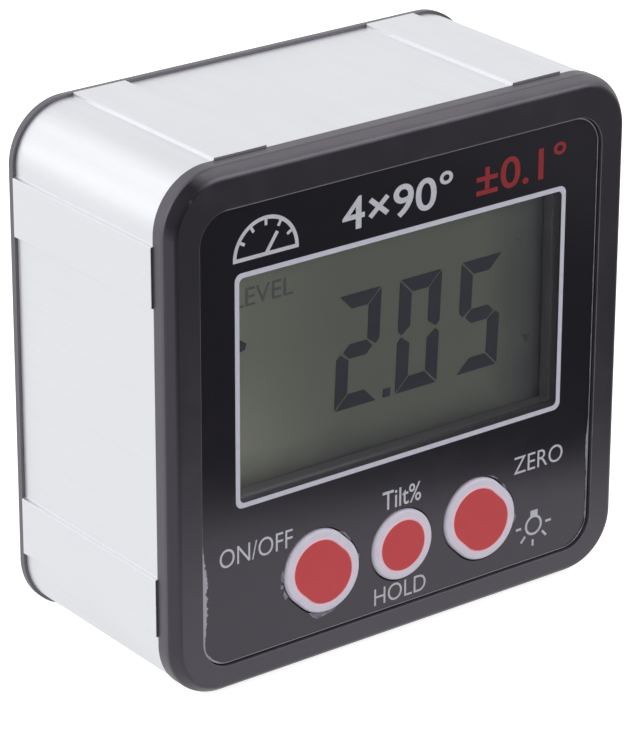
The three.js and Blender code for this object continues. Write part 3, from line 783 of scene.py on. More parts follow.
@dataclass(frozen=True)
class ClearFront:
    """The front of a clear sheet, which lets most light straight through and mirrors the rest."""

    name: str
    tint: Colour = (0.95, 0.955, 0.95)
    roughness: float = 0.12
    ior: float = 1.45
    smears: Triple = (90.0, 90.0, 340.0)
    scratches: float = 0.0
    scratch_turns: Triple = (0.5, 1.1, 2.2)
    scratch_scale: Triple = (9000.0, 0.0, 420.0)
    scratch_patches: float = 170.0
    dust_colour: Colour = (0.75, 0.75, 0.78)

    def make(self) -> Material:
        """Builds the material, with a few hairline scratches where they are asked for."""
        tree = Tree(self.name)
        smears = tree.noise(1.0, 4.0, tree.stretched(self.smears), 0.65)
        rough = tree.spread(smears, (0.35, 0.7), (self.roughness, 2 * self.roughness))
        mirror = tree.surface("BsdfGlossy", {"Color": WHITE, "Roughness": rough})
        clear = tree.surface("BsdfTransparent", {"Color": self.tint})
        share = tree.add("Fresnel", {"IOR": self.ior}).outputs[0]
        surface = tree.overlay(share, clear, mirror)
        if self.scratches:
            patches = tree.spread(tree.noise(self.scratch_patches, 1.0), (0.52, 0.62))
            dust = tree.surface("BsdfDiffuse", {"Color": self.dust_colour})
            for turn in self.scratch_turns:
                turned = tree.add("Mapping", {"Vector": tree.coordinates, "Rotation": (0, turn, 0),
                                              "Scale": self.scratch_scale}).outputs["Vector"]
                hairs = tree.spread(tree.noise(1.0, 0.0, turned), (0.80, 0.84), (0.0, self.scratches))
                surface = tree.overlay(tree.sum("MULTIPLY", hairs, patches), surface, dust)
        return tree.close(surface)


@dataclass(frozen=True)
class ClearInside:
    """The other sides of a clear sheet, where light only passes."""

    name: str
    tint: Colour = (0.98, 0.985, 0.98)
    cloudy_tint: Colour = (0.95, 0.955, 0.95)
    clouds: float = 120.0

    def make(self) -> Material:
        """Builds the material."""
        tree = Tree(self.name)
        tint = tree.blend(tree.noise(self.clouds, 3.0), self.tint, self.cloudy_tint)
        return tree.close(tree.surface("BsdfTransparent", {"Color": tint}))


@dataclass(frozen=True)
class GradedPlastic:
    """Pale plastic with painted light that fades from left to right into painted shade."""

    name: str
    left_colour: Colour
    right_colour: Colour
    span: Span = (-15 * MM, 17 * MM)
    patches: float = 200.0
    waver: Span = (-0.5 * MM, 0.5 * MM)
    roughness: float = 0.6
    grain: float = 5200.0
    relief: float = 0.008 * MM

    def make(self) -> Material:
        """Builds the material."""
        tree = Tree(self.name)
        soft = tree.spread(tree.noise(self.patches, 2.0), (0.2, 0.8), self.waver)
        share = tree.spread(tree.sum("ADD", tree.axis("X"), soft), self.span)
        return tree.principled({
            "Base Color": tree.blend(share, self.left_colour, self.right_colour),
            "Roughness": self.roughness,
            "Normal": tree.moulded(self.grain, self.relief),
        })


@dataclass(frozen=True)
class ChamferPlastic:
    """Plastic of the bezel's chamfer, with painted light along the top and painted shade, with duller gloss,
    at the upper left corner.
    """

    name: str = "bezel_chamfer"
    colour: Colour = (0.020, 0.019, 0.024)
    top_colour: Colour = (0.142, 0.139, 0.149)
    top_rises: Span = (27.5 * MM, 28.6 * MM)
    dull_colour: Colour = (0.013, 0.012, 0.0145)
    corner_shade_middle: Triple = (-28.3 * MM, 0.6 * MM, 26.2 * MM)
    corner_shade_reach: Span = (3.9 * MM, 2.2 * MM)
    patches: float = 200.0
    waver: Span = (-0.2 * MM, 0.2 * MM)
    gloss_tint: Colour = (0.92, 0.84, 1.0)
    corner_shade_tint: Colour = (0.33, 0.30, 0.36)
    roughness: Span = (0.4, 0.5)
    specular: float = 0.74
    grain: float = 5200.0
    relief: float = 0.012 * MM

    def make(self) -> Material:
        """Builds the material."""
        tree = Tree(self.name)
        soft = tree.spread(tree.noise(self.patches, 2.0), (0.2, 0.8), self.waver)
        rise = tree.sum("ADD", tree.sum("SUBTRACT", tree.axis("Z"), MIDDLE_Z), soft)
        # Painted light: the chamfer is paler along the top, where light falls on it
        plain = tree.blend(tree.spread(rise, self.top_rises), self.colour, self.top_colour)
        # Painted shade: darker and less glossy round the upper left corner
        away = tree.vector("DISTANCE", tree.coordinates, tuple(place(*self.corner_shade_middle)))
        dull = tree.spread(tree.sum("ADD", away, soft), self.corner_shade_reach)
        return tree.principled({
            "Base Color": tree.blend(dull, plain, self.dull_colour),
            "Roughness": tree.spread(dull, (0.0, 1.0), self.roughness),
            "Specular IOR Level": self.specular,
            "Specular Tint": tree.blend(dull, self.gloss_tint, self.corner_shade_tint),
            "Normal": tree.moulded(self.grain, self.relief),
        })


@dataclass(frozen=True)
class DisplayReflector:
    """The greenish grey sheet behind the display's glass, with painted light and shade on it."""

    name: str = "display_reflector"
    colour: Colour = (0.545, 0.56, 0.508)
    left_colour: Colour = (0.69, 0.69, 0.62)
    low_left_colour: Colour = (0.88, 0.88, 0.79)
    left_span: Span = (-19 * MM, -6 * MM)
    glow_rises: Span = (7 * MM, -1 * MM)
    shade_colour: Colour = (0.27, 0.258, 0.30)
    bright_right: float = 12.8 * MM
    dark_right: float = 20.2 * MM
    bright_low: float = -4 * MM
    dark_low: float = -8 * MM
    low_share: float = 0.6
    patches: float = 130.0
    waver: Span = (-1.2 * MM, 1.2 * MM)
    grain: float = 6500.0
    relief: float = 0.004 * MM

    def make(self) -> Material:
        """Builds the material, with painted shade towards the right and the lower edge, and painted light on
        the left, palest at the lower left.
        """
        tree = Tree(self.name)
        soft = tree.spread(tree.noise(self.patches, 3.0), (0.2, 0.8), self.waver)
        across = tree.sum("ADD", tree.axis("X"), soft)
        # Painted shade towards the right and the lower edge
        right = tree.spread(across, (self.bright_right, self.dark_right))
        low = tree.spread(tree.sum("ADD", tree.axis("Z"), soft),
                          (MIDDLE_Z + self.bright_low, MIDDLE_Z + self.dark_low), (0.0, self.low_share))
        shade = tree.sum("MAXIMUM", right, low)
        # Painted light: paler on the left and palest at the lower left
        left = tree.spread(across, self.left_span, (1.0, 0.0))
        glow = tree.spread(tree.axis("Z"), tuple(MIDDLE_Z + rise for rise in self.glow_rises))
        lit = tree.blend(left, self.colour, tree.blend(glow, self.left_colour, self.low_left_colour))
        return tree.principled({
            "Base Color": tree.blend(shade, lit, self.shade_colour),
            "Metallic": 0.2,
            "Roughness": 0.55,
            "Normal": tree.bump(tree.noise(self.grain, 2.0), self.relief, 0.6),
        })


@dataclass(frozen=True)
class Ink:
    """Ink that is a little uneven."""

    name: str
    colour: Colour
    thin_colour: Colour
    roughness: float = 0.4
    patches: float = 1800.0

    def make(self) -> Material:
        """Builds the material."""
        tree = Tree(self.name)
        patch = tree.spread(tree.noise(self.patches, 4.0, roughness=0.7), (0.35, 0.7))
        return tree.principled({
            "Base Color": tree.blend(patch, self.colour, self.thin_colour),
            "Roughness": self.roughness,
            "Specular IOR Level": 0.3,
        })


@dataclass(frozen=True)
class Hatched:
    """Satin plastic with a fine diagonal hatch."""

    name: str = "hatched_silver"
    colour: Colour = (0.86, 0.81, 0.94)
    line_colour: Colour = (0.665, 0.62, 0.745)
    angle: float = math.radians(45)
    pitch: float = 0.24 * MM
    wave_share: float = 0.314
    fading: float = 900.0
    relief: float = 0.01 * MM

    def make(self) -> Material:
        """Builds the material."""
        tree = Tree(self.name)
        turned = tree.add("Mapping", {"Vector": tree.coordinates, "Rotation": (0, self.angle, 0)})
        lines = tree.add("TexWave", {"Vector": turned.outputs[0], "Scale": self.wave_share / self.pitch,
                                     "Distortion": 0.6, "Detail": 1.0}, bands_direction="X").outputs["Fac"]
        tone = tree.sum("MULTIPLY", lines,
                        tree.spread(tree.noise(self.fading, 3.0), NOISE_RANGE, (0.4, 1.0)))
        return tree.principled({
            "Base Color": tree.blend(tone, self.colour, self.line_colour),
            "Roughness": 0.42,
            "Normal": tree.bump(lines, self.relief, 0.5),
        })


@dataclass(frozen=True)
class Metal:
    """Plated or bare metal with fine scratches."""

    name: str
    colour: Colour
    dull_colour: Colour
    roughness: Span = (0.22, 0.4)
    scratch: Triple = (2500.0, 2500.0, 400.0)
    clouds: float = 450.0
    relief: float = 0.004 * MM

    def make(self) -> Material:
        """Builds the material."""
        tree = Tree(self.name)
        lines = tree.noise(1.0, 4.0, tree.stretched(self.scratch), 0.7)
        cloud = tree.spread(tree.noise(self.clouds, 4.0, roughness=0.6), (0.35, 0.7))
        return tree.principled({
            "Base Color": tree.blend(cloud, self.colour, self.dull_colour),
            "Metallic": 1.0,
            "Roughness": tree.spread(lines, NOISE_RANGE, self.roughness),
            "Normal": tree.bump(lines, self.relief),
        })


@dataclass(frozen=True)
class CellSleeve:
    """The shrunk sleeve of a cell: dark, with a pale band near one end."""

    name: str
    band_end: float
    inward: int
    colour: Colour = (0.02, 0.045, 0.085)
    band_colour: Colour = (0.55, 0.36, 0.16)
    band_width: float = 11 * MM
    band_edge: float = 0.1 * MM
    wrinkles: float = 600.0
    relief: float = 0.01 * MM

    def make(self) -> Material:
        """Builds the material, with its band measured from the given end."""
        tree = Tree(self.name)
        inset = tree.sum("MULTIPLY", tree.sum("SUBTRACT", tree.axis("X"), self.band_end),
                         float(self.inward))
        band = tree.spread(inset, (self.band_width, self.band_width + self.band_edge), (1.0, 0.0))
        wrinkle = tree.noise(self.wrinkles, 4.0)
        return tree.principled({
            "Base Color": tree.blend(band, self.colour, self.band_colour),
            "Metallic": 0.25,
            "Roughness": tree.spread(wrinkle, NOISE_RANGE, (0.24, 0.4)),
            "Normal": tree.bump(wrinkle, self.relief, 0.5),
        })


class Finishes:
    """One copy of each finish that several pieces share."""

    def __init__(self) -> None:
        """Makes the shared materials."""
        self.aluminium = SatinAluminium().make()
        self.sawn = SawnAluminium().make()
        black = MouldedPlastic("black_plastic", (0.023, 0.0215, 0.027), (0.033, 0.031, 0.038),
                               (0.36, 0.46), ior=1.62, specular=0.68, gloss_tint=(0.92, 0.84, 1.0))
        self.black = black.make()
        # Painted light: the bezel's outer walls are its black plastic painted paler, for the light that
        # falls on them from the side
        self.bezel_side_painted_light = replace(black, name="bezel_side_painted_light", colour=(0.062, 0.060, 0.068),
                                  rubbed_colour=(0.074, 0.072, 0.080)).make()
        # Painted light: the rear cover's outer walls and front-facing ledge are its black plastic painted
        # paler
        self.cover_side_painted_light = replace(black, name="cover_side_painted_light", colour=(0.112, 0.108, 0.120),
                                  rubbed_colour=(0.126, 0.122, 0.134)).make()
        # Painted light and shade: the walls and the ledge of the window opening are the black plastic
        # painted pale, darker towards the right
        self.opening = GradedPlastic("window_opening_painted_light", (0.56, 0.535, 0.59), (0.48, 0.46, 0.51)).make()
        self.ledge = GradedPlastic("window_ledge", (0.46, 0.44, 0.49), (0.24, 0.23, 0.26)).make()
        self.chamfer = ChamferPlastic().make()
        # Painted highlight: the rounded lip of the film's recess is painted pale grey as a thin line of
        # light
        self.lip_painted_highlight = MouldedPlastic("lip_painted_highlight_edge", (0.13, 0.13, 0.135), (0.2, 0.2, 0.205),
                                           (0.4, 0.5)).make()
        self.film = PrintedFilm().make()
        self.lens = ClearFront("clear_lens", scratches=0.22).make()
        self.glass = ClearFront("display_front_glass", roughness=0.06, ior=1.2).make()
        self.clear = ClearInside("clear_inside").make()
        self.reflector = DisplayReflector().make()
        self.segments = Ink("display_segments", (0.136, 0.134, 0.180), (0.158, 0.156, 0.200), 0.5).make()
        self.faint = Ink("faint_segments", (0.27, 0.27, 0.28), (0.33, 0.33, 0.33), 0.5).make()
        self.dim = Ink("dim_segments", (0.17, 0.17, 0.20), (0.22, 0.22, 0.24), 0.5).make()
        self.scuff = Ink("film_scuff", (0.33, 0.32, 0.37), (0.12, 0.115, 0.14), 0.5).make()
        self.pale_ink = Ink("pale_ink", (0.64, 0.64, 0.71), (0.54, 0.54, 0.61)).make()
        self.line_ink = Ink("line_ink", (0.66, 0.66, 0.76), (0.58, 0.59, 0.70)).make()
        self.red_ink = Ink("red_ink", (0.34, 0.030, 0.036), (0.28, 0.026, 0.032)).make()
        self.silver = Hatched().make()
        self.red = MouldedPlastic("red_plastic", (0.64, 0.051, 0.062), (0.67, 0.066, 0.076),
                                  (0.38, 0.5), 3600.0, 0.006 * MM).make()
        # Painted highlight: a bright pink line round each red face, painted also on the pocket's walls where
        # the gap would be dark
        self.painted_rim_highlight = MouldedPlastic("red_rim_painted_highlight", (1.0, 0.70, 0.80), (1.0, 0.78, 0.86)).make()
        self.zinc = Metal("zinc_steel", (0.55, 0.55, 0.56), (0.42, 0.42, 0.43)).make()
        self.nickel = Metal("nickel_plate", (0.62, 0.60, 0.57), (0.5, 0.48, 0.46), (0.15, 0.32)).make()
        self.spring = Metal("spring_steel", (0.58, 0.57, 0.55), (0.45, 0.44, 0.42), (0.2, 0.35)).make()
        self.white = MouldedPlastic("white_plastic", (0.78, 0.78, 0.76), (0.72, 0.72, 0.70)).make()
        self.board = MouldedPlastic("green_board", (0.012, 0.10, 0.04), (0.02, 0.14, 0.06),
                                    (0.3, 0.5), 1500.0).make()
        self.chip = MouldedPlastic("chip_black", (0.012, 0.012, 0.013), (0.02, 0.02, 0.021)).make()
        self.rubber = MouldedPlastic("soft_rubber", (0.45, 0.36, 0.28), (0.5, 0.42, 0.33),
                                     (0.6, 0.8)).make()
        self.red_wire = MouldedPlastic("wire_red", (0.42, 0.015, 0.015), (0.5, 0.03, 0.03)).make()
        self.black_wire = MouldedPlastic("wire_black", (0.012, 0.012, 0.013), (0.025, 0.025, 0.027)).make()


# Pieces


@dataclass
class SubAssembly:
    """A part of the instrument that is modelled and dressed together."""

    finishes: Finishes


@dataclass
class AluminiumRing(SubAssembly):
    """The extruded ring with two raised rails on each of its four sides."""

    half_width: float = 29.87 * MM
    half_height: float = 28.87 * MM
    corner_radius: float = 6.37 * MM
    depths: Span = (2.8 * MM, 27.7 * MM)
    wall: float = 2.2 * MM
    rail_rise: float = 0.41 * MM
    rail_slope: float = 0.1 * MM
    rail_width: float = 6.7 * MM
    rail_corner_distance: float = 7.27 * MM
    port_inset: float = 6.4 * MM
    port_web: float = 3 * MM
    port_bore: float = 1.15 * MM
    pocket_radius: float = 2.55 * MM
    edge_round: float = 0.08 * MM

    def build(self, magnets: "BaseMagnets") -> None:
        """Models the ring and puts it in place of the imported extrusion.

        Args:
            magnets: The magnets, whose pockets the lower rails carry.
        """
        ring = plate("aluminium_ring", both_ways(self.half_width), self.depths,
                     both_ways(self.half_height), self.corner_radius, CORNER_STEPS)
        self.raise_rails(ring)
        self.hollow(ring)
        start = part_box("frame_extrusion")[0].z - OVERRUN
        for x, y in magnets.places():
            cut_from(ring, rod("pocket", self.pocket_radius, Vector((x, y, start)),
                               Vector((x, y, magnets.top()))))
        soften(ring, self.edge_round, 3, 20)
        settle(ring, [self.finishes.aluminium, self.finishes.sawn], "frame_extrusion")
        paint_faces(ring, 1, lambda polygon: abs(polygon.normal.y) > 0.9)

    def raise_rails(self, ring: Piece) -> None:
        """Cuts the rails' outlines into the four sides and draws them out.

        Args:
            ring: The ring while it is a plain slab.
        """
        middle = place(0, 0, 0)
        narrowing = -2 * self.rail_slope / self.rail_width
        for across, half, reach in ((Vector((1, 0, 0)), self.half_width, self.half_height),
                                    (Vector((0, 0, 1)), self.half_height, self.half_width)):
            upward = Vector((across.z, 0, across.x))
            outer = half - self.rail_corner_distance
            inner = outer - self.rail_width
            with editing(ring):
                for distance in (-outer, -inner, inner, outer):
                    bpy.ops.mesh.select_all(action="SELECT")
                    bpy.ops.mesh.bisect(plane_co=middle + distance * across, plane_no=across)
                for side in (1, -1):
                    for centre in (-(inner + outer) / 2, (inner + outer) / 2):
                        def on_rail(face: bmesh.types.BMFace) -> bool:
                            """Says whether a face is the rail's."""
                            spot = face.calc_center_median() - middle
                            return (face.normal.dot(upward) * side > 0.99
                                    and abs(spot.dot(upward) * side - reach) < self.rail_rise / 2
                                    and abs(spot.dot(across) - centre) < self.rail_width / 2)
                        pick(ring, "FACE", on_rail)
                        extrude(side * self.rail_rise * upward)
                        bpy.ops.transform.resize(
                            value=Vector((1, 1, 1)) + narrowing * across,
                            center_override=middle + centre * across + side * reach * upward)

    def hollow(self, ring: Piece) -> None:
        """Opens the ring's inside, with a web in each corner for a screw port.

        Args:
            ring: The ring with its rails.
        """
        web_x = self.half_width - self.port_inset - self.port_web
        web_z = self.half_height - self.port_inset - self.port_web
        inside_x, inside_z = self.half_width - self.wall, self.half_height - self.wall
        through = (self.depths[0] - OVERRUN, self.depths[1] + OVERRUN)
        cut_from(ring,
                 plate("hollow", both_ways(inside_x), through, both_ways(web_z)),
                 plate("hollow", both_ways(web_x), through, both_ways(inside_z)))
        for side_x, side_z in CORNERS:
            x = side_x * (self.half_width - self.port_inset)
            z = side_z * (self.half_height - self.port_inset)
            cut_from(ring, rod("port", self.port_bore, place(x, through[0], z), place(x, through[1], z)))


@dataclass
class BaseMagnets(SubAssembly):
    """Four round magnets let into the rails of the lower side."""

    count: int = 4
    sides: int = 64
    edge_round: float = 0.15 * MM

    def places(self) -> list[Vector]:
        """Gives each magnet's place across and along the depth."""
        return [middle_of(f"base_magnet_{number}").xy for number in range(1, self.count + 1)]

    def top(self) -> float:
        """Gives the height of the pockets' floors."""
        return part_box("base_magnet_1")[1].z

    def build(self) -> None:
        """Models a magnet in each pocket."""
        low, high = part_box("base_magnet_1")
        radius = (high.x - low.x) / 2
        for number, (x, y) in enumerate(self.places(), 1):
            disc = rod(f"magnet_disc_{number}", radius, Vector((x, y, low.z)), Vector((x, y, high.z)),
                       self.sides)
            soften(disc, self.edge_round, 3)
            settle(disc, [self.finishes.nickel], f"base_magnet_{number}")


@dataclass
class ButtonShape:
    """Sizes that each button, its well and its hole share."""

    name: str
    body: Body
    x: float
    rise: float
    radius: float
    half_span: float
    skirt: float = 1.07 * MM

    def outline(self, name: str, growth: float, front: float, rear: float) -> Piece:
        """Adds a disc with the red face's outline, grown all round, from one depth to another."""
        return oblong(name, self.radius + growth, self.half_span, place(self.x, front, self.rise),
                      rear - front)

    def distance(self, spot: Vector) -> float:
        """Gives how far a place lies outside the red face's outline, seen from the front."""
        away = spot - place(self.x, 0, self.rise)
        along = (away.x - away.z) * DIAGONAL
        held = max(-self.half_span, min(self.half_span, along)) * DIAGONAL
        return math.hypot(away.x - held, away.z + held) - self.radius


WIDE_RADIUS = 3.28 * MM
WIDE_HALF_SPAN = 0.76 * MM
ROUND_RADIUS = 2.95 * MM
BUTTON_PITCH = middle_of("button_right").x
BUTTON_RISE = middle_of("button_left").z - MIDDLE_Z
BUTTONS = (
    ButtonShape("left", Body.LEFT_BUTTON, -BUTTON_PITCH, BUTTON_RISE, WIDE_RADIUS, WIDE_HALF_SPAN),
    ButtonShape("middle", Body.MIDDLE_BUTTON, 0.0, BUTTON_RISE, ROUND_RADIUS, 0.0),
    ButtonShape("right", Body.RIGHT_BUTTON, BUTTON_PITCH, BUTTON_RISE, WIDE_RADIUS, WIDE_HALF_SPAN),
)


@dataclass(frozen=True)
class Spigots:
    """Two bars on the bezel or the rear cover that locate it in the ring."""

    reach: float = 18 * MM
    wall: float = 1.2 * MM
    length: float = 1.5 * MM
    rise: float = 26.52 * MM

    def add(self, obj: Piece, depths: Span) -> None:
        """Adds both bars to the bezel or the cover, between two depths."""
        inner = self.rise - self.wall
        for rises in ((inner, self.rise), (-self.rise, -inner)):
            add_to(obj, plate("spigot", both_ways(self.reach), depths, rises))


SPIGOTS = Spigots()


@dataclass
class Bezel(SubAssembly):
    """The front bezel with the recess for the film, the window and the button wells."""

    half_width: float = 30 * MM
    half_height: float = 29 * MM
    corner_radius: float = 6.5 * MM
    corner_steps: int = 28
    thickness: float = 2.8 * MM
    chamfer_across: float = 0.9 * MM
    chamfer_along: float = 1.2 * MM
    chamfer_round: float = 0.34 * MM
    recess_depth: float = 0.75 * MM
    recess_gap: float = 0.1 * MM
    lip_round: float = 0.08 * MM
    lens_rear: float = 1.55 * MM
    lens_gap: float = 0.05 * MM
    window_ledge: float = 0.3 * MM
    gasket_width: float = 0.6 * MM
    gasket_gap: float = 0.01 * MM
    gasket_depth: float = 0.14 * MM
    well_gap: float = 0.15 * MM
    counterbore_radius: float = 1.95 * MM
    counterbore_depth: float = 1.65 * MM
    screw_bore: float = 1.15 * MM
    port_x: float = 23.47 * MM
    port_z: float = 22.47 * MM
    boss_radius: float = 1.45 * MM
    boss_bore: float = 0.9 * MM
    boss_rear: float = 8.2 * MM
    boss_bore_front: float = 4.2 * MM
    boss_upper: float = 13.97 * MM
    boss_lower: float = -7.97 * MM

    def build(self, film: "Film", lens: "Lens") -> None:
        """Models the bezel.

        Args:
            film: The film, whose recess the bezel carries.
            lens: The window lens, whose seat the bezel carries.
        """
        bezel = plate("bezel_shell", both_ways(self.half_width),
                      (self.chamfer_along, self.thickness), both_ways(self.half_height),
                      self.corner_radius, self.corner_steps)
        with editing(bezel):
            pick(bezel, "FACE", facing(FORWARD))
            bpy.ops.mesh.inset(thickness=self.chamfer_across, depth=self.chamfer_along)
            for depth in (0.0, self.chamfer_along):
                bevel_edges(bezel, at_depth(depth), self.chamfer_round, 5)
        self.carry_inside(bezel)
        cut_from(bezel, film.outline("recess", self.recess_gap, -OVERRUN, self.recess_depth),
                 lens.outline("seat", self.lens_gap, 0.0, self.lens_rear),
                 lens.outline("opening", -self.window_ledge, 0.0, self.thickness + OVERRUN))
        for button in BUTTONS:
            cut_from(bezel, button.outline("well", button.skirt + self.well_gap, 0.0,
                                           self.thickness + OVERRUN))
        reach_x = film.half_width + OVERRUN
        lowest, highest = (MIDDLE_Z + film.rises[0] - OVERRUN, MIDDLE_Z + film.rises[1] + OVERRUN)
        on_front = at_depth(0.0)
        with editing(bezel):
            bevel_edges(bezel, lambda edge: on_front(edge) and all(
                abs(v.co.x) < reach_x and lowest < v.co.z < highest for v in edge.verts), self.lip_round, 2)
        for side_x, side_z in CORNERS:
            x, z = side_x * self.port_x, side_z * self.port_z
            cut_from(bezel,
                     rod("counterbore", self.counterbore_radius, place(x, 0, z),
                         place(x, self.counterbore_depth, z)),
                     rod("bore", self.screw_bore, place(x, 0, z), place(x, self.thickness + OVERRUN, z)))
        settle(bezel,
               [self.finishes.black, self.finishes.lip_painted_highlight, self.finishes.opening, self.finishes.ledge,
                self.finishes.bezel_side_painted_light, self.finishes.chamfer], "front_bezel")

        def on_lip(polygon: Polygon) -> bool:
            """Says whether a face belongs to the rounded lip of the film's recess."""
            middle = polygon.center
            return (0.1 < -polygon.normal.y < 0.99 and -TOLERANCE < middle.y - FACE_Y < self.lip_round
                    and abs(middle.x) < reach_x and abs(middle.z - MIDDLE_Z) < film.half_width)

        by_lens = lens.surround(2 * self.lens_gap)

        def in_window(polygon: Polygon) -> bool:
            """Says whether a face lines the opening behind the window."""
            return (polygon.normal.y < 0.5
                    and polygon.center.y > FACE_Y + self.recess_depth + self.lens_gap
                    and by_lens(polygon.center))

        # Painted highlight along the lip of the film's recess
        paint_faces(bezel, 1, on_lip)
        # Painted light on the walls behind the window, fading to painted shade on the right
        paint_faces(bezel, 2, in_window)
        # Painted light on the window's ledge, darker still, with painted shade towards the right
        paint_faces(bezel, 3, lambda polygon: in_window(polygon) and polygon.normal.y < -0.5)
        # Painted light on the bezel's outer walls
        paint_faces(bezel, 4, on_side)
        # Painted light along the chamfer's top and painted shade at its upper left corner
        paint_faces(bezel, 5, on_chamfer)
        # The gasket behind the opening takes the same painted light, in place of the dark gap in front of
        # the display
        gasket = lens.outline("display_gasket", self.gasket_width,
                              self.thickness + self.gasket_gap, self.thickness + self.gasket_depth)
        cut_from(gasket, lens.outline("sight", -self.window_ledge, self.thickness,
                                      self.thickness + OVERRUN))
        settle(gasket, [self.finishes.opening])

    def carry_inside(self, bezel: Piece) -> None:
        """Adds what the bezel carries on its rear: two locating bars and four bored bosses.

        Args:
            bezel: The bezel as a plain plate.
        """
        root = self.thickness - self.recess_depth / 2
        SPIGOTS.add(bezel, (root, self.thickness + SPIGOTS.length))
        x = middle_of("board_screw_1").x
        for side in (1, -1):
            for z in (self.boss_upper, self.boss_lower):
                add_to(bezel, rod("boss", self.boss_radius, place(side * x, root, z),
                                  place(side * x, self.boss_rear, z)))
                cut_from(bezel, rod("boss_bore", self.boss_bore, place(side * x, self.boss_bore_front, z),
                                    place(side * x, self.boss_rear + OVERRUN, z)))


@dataclass
class Film(SubAssembly):
    """The printed film that lies in the bezel's recess."""

    half_width: float = 26.15 * MM
    rises: Span = (-25.75 * MM, 24.55 * MM)
    corner_radius: float = 3.4 * MM
    depths: Span = (0.45 * MM, 0.75 * MM)
    hole_gap: float = 0.15 * MM
    window_gap: float = 0.05 * MM
    edge_round: float = 0.06 * MM

    def outline(self, name: str, growth: float, front: float, rear: float) -> Piece:
        """Adds a plate with the film's outline, grown all round, from one depth to another."""
        reach = self.half_width + growth
        return plate(name, both_ways(reach), (front, rear), (self.rises[0] - growth, self.rises[1] + growth),
                     self.corner_radius + growth, CORNER_STEPS)

    def build(self, lens: "Lens") -> None:
        """Models the film.

        Args:
            lens: The window lens, which the film surrounds.
        """
        film = self.outline("printed_face_film", 0.0, *self.depths)
        through = (self.depths[0] - OVERRUN, self.depths[1] + OVERRUN)
        cut_from(film, lens.outline("window", self.window_gap, *through))
        for button in BUTTONS:
            cut_from(film, button.outline("hole", button.skirt + self.hole_gap, *through))
        soften(film, self.edge_round, 2)
        settle(film, [self.finishes.film, self.finishes.opening], "overlay_film")
        by_lens = lens.surround(self.edge_round)
        # Painted light on the walls of the film's window
        paint_faces(film, 1, lambda polygon: abs(polygon.normal.y) < 0.5 and by_lens(polygon.center))


@dataclass
class Lens(SubAssembly):
    """The clear window of the display."""

    corner_radius: float = 0.6 * MM
    edge_round: float = 0.05 * MM

    def outline(self, name: str, growth: float, front: float, rear: float) -> Piece:
        """Adds a plate with the lens's outline, grown all round, from one depth to another."""
        low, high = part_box("window_lens")
        return plate(name, (low.x - growth, high.x + growth), (front, rear),
                     (low.z - MIDDLE_Z - growth, high.z - MIDDLE_Z + growth),
                     max(self.corner_radius + growth, self.corner_radius / 2), SMALL_CORNER_STEPS)

    def surround(self, margin: float) -> Test:
        """Gives a test of whether a place lies within the lens's sides or a margin round them."""
        low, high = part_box("window_lens")
        return lambda spot: (low.x - margin < spot.x < high.x + margin
                             and low.z - margin < spot.z < high.z + margin)

    def build(self) -> None:
        """Models the lens."""
        low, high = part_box("window_lens")
        lens = self.outline("clear_window", 0.0, low.y - FACE_Y, high.y - FACE_Y)
        soften(lens, self.edge_round, 2)
        settle(lens, [self.finishes.lens, self.finishes.clear], "window_lens")
        paint_faces(lens, 1, not_front)


@dataclass(frozen=True)
class Lettering:
    """One line of printed lettering, fitted to the space it fills."""

    name: str
    text: str
    across: Span
    rises: Span
    weight: float = 0.0
    curve_steps: int = 6

    def build(self, depth: float, thickness: float) -> Piece:
        """Makes the line as a thin mesh on the given depth.

        Args:
            depth: The depth of the lettering's rear, which lies on the printed face.
            thickness: How thick the ink is.

        Returns:
            The lettering.
        """
        clear_selection()
        bpy.ops.object.text_add()
        line = bpy.context.object
        line.name = self.name
        line.data.body = self.text
        line.data.offset = self.weight
        line.data.extrude = 0.5
        line.data.resolution_u = self.curve_steps
        bpy.ops.object.convert(target="MESH")
        line = bpy.context.object
        corners = [vert.co for vert in line.data.vertices]
        low = Vector((min(c.x for c in corners), min(c.y for c in corners), 0))
        size = Vector((max(c.x for c in corners), max(c.y for c in corners), 0)) - low
        wide = (self.across[1] - self.across[0]) / size.x
        tall = (self.rises[1] - self.rises[0]) / size.y
        flat = Matrix(((wide, 0, 0, -low.x * wide), (0, 0, -thickness, 0), (0, tall, 0, -low.y * tall),
                       (0, 0, 0, 1)))
        corner = place(self.across[0], depth - thickness / 2, self.rises[0])
        line.data.transform(Matrix.Translation(corner) @ flat)
        return line


# Which of the seven strokes each numeral lights, from the top clockwise and then the middle
LIT_STROKES = {"2": "abdeg", "0": "abcdef", "5": "acdfg"}


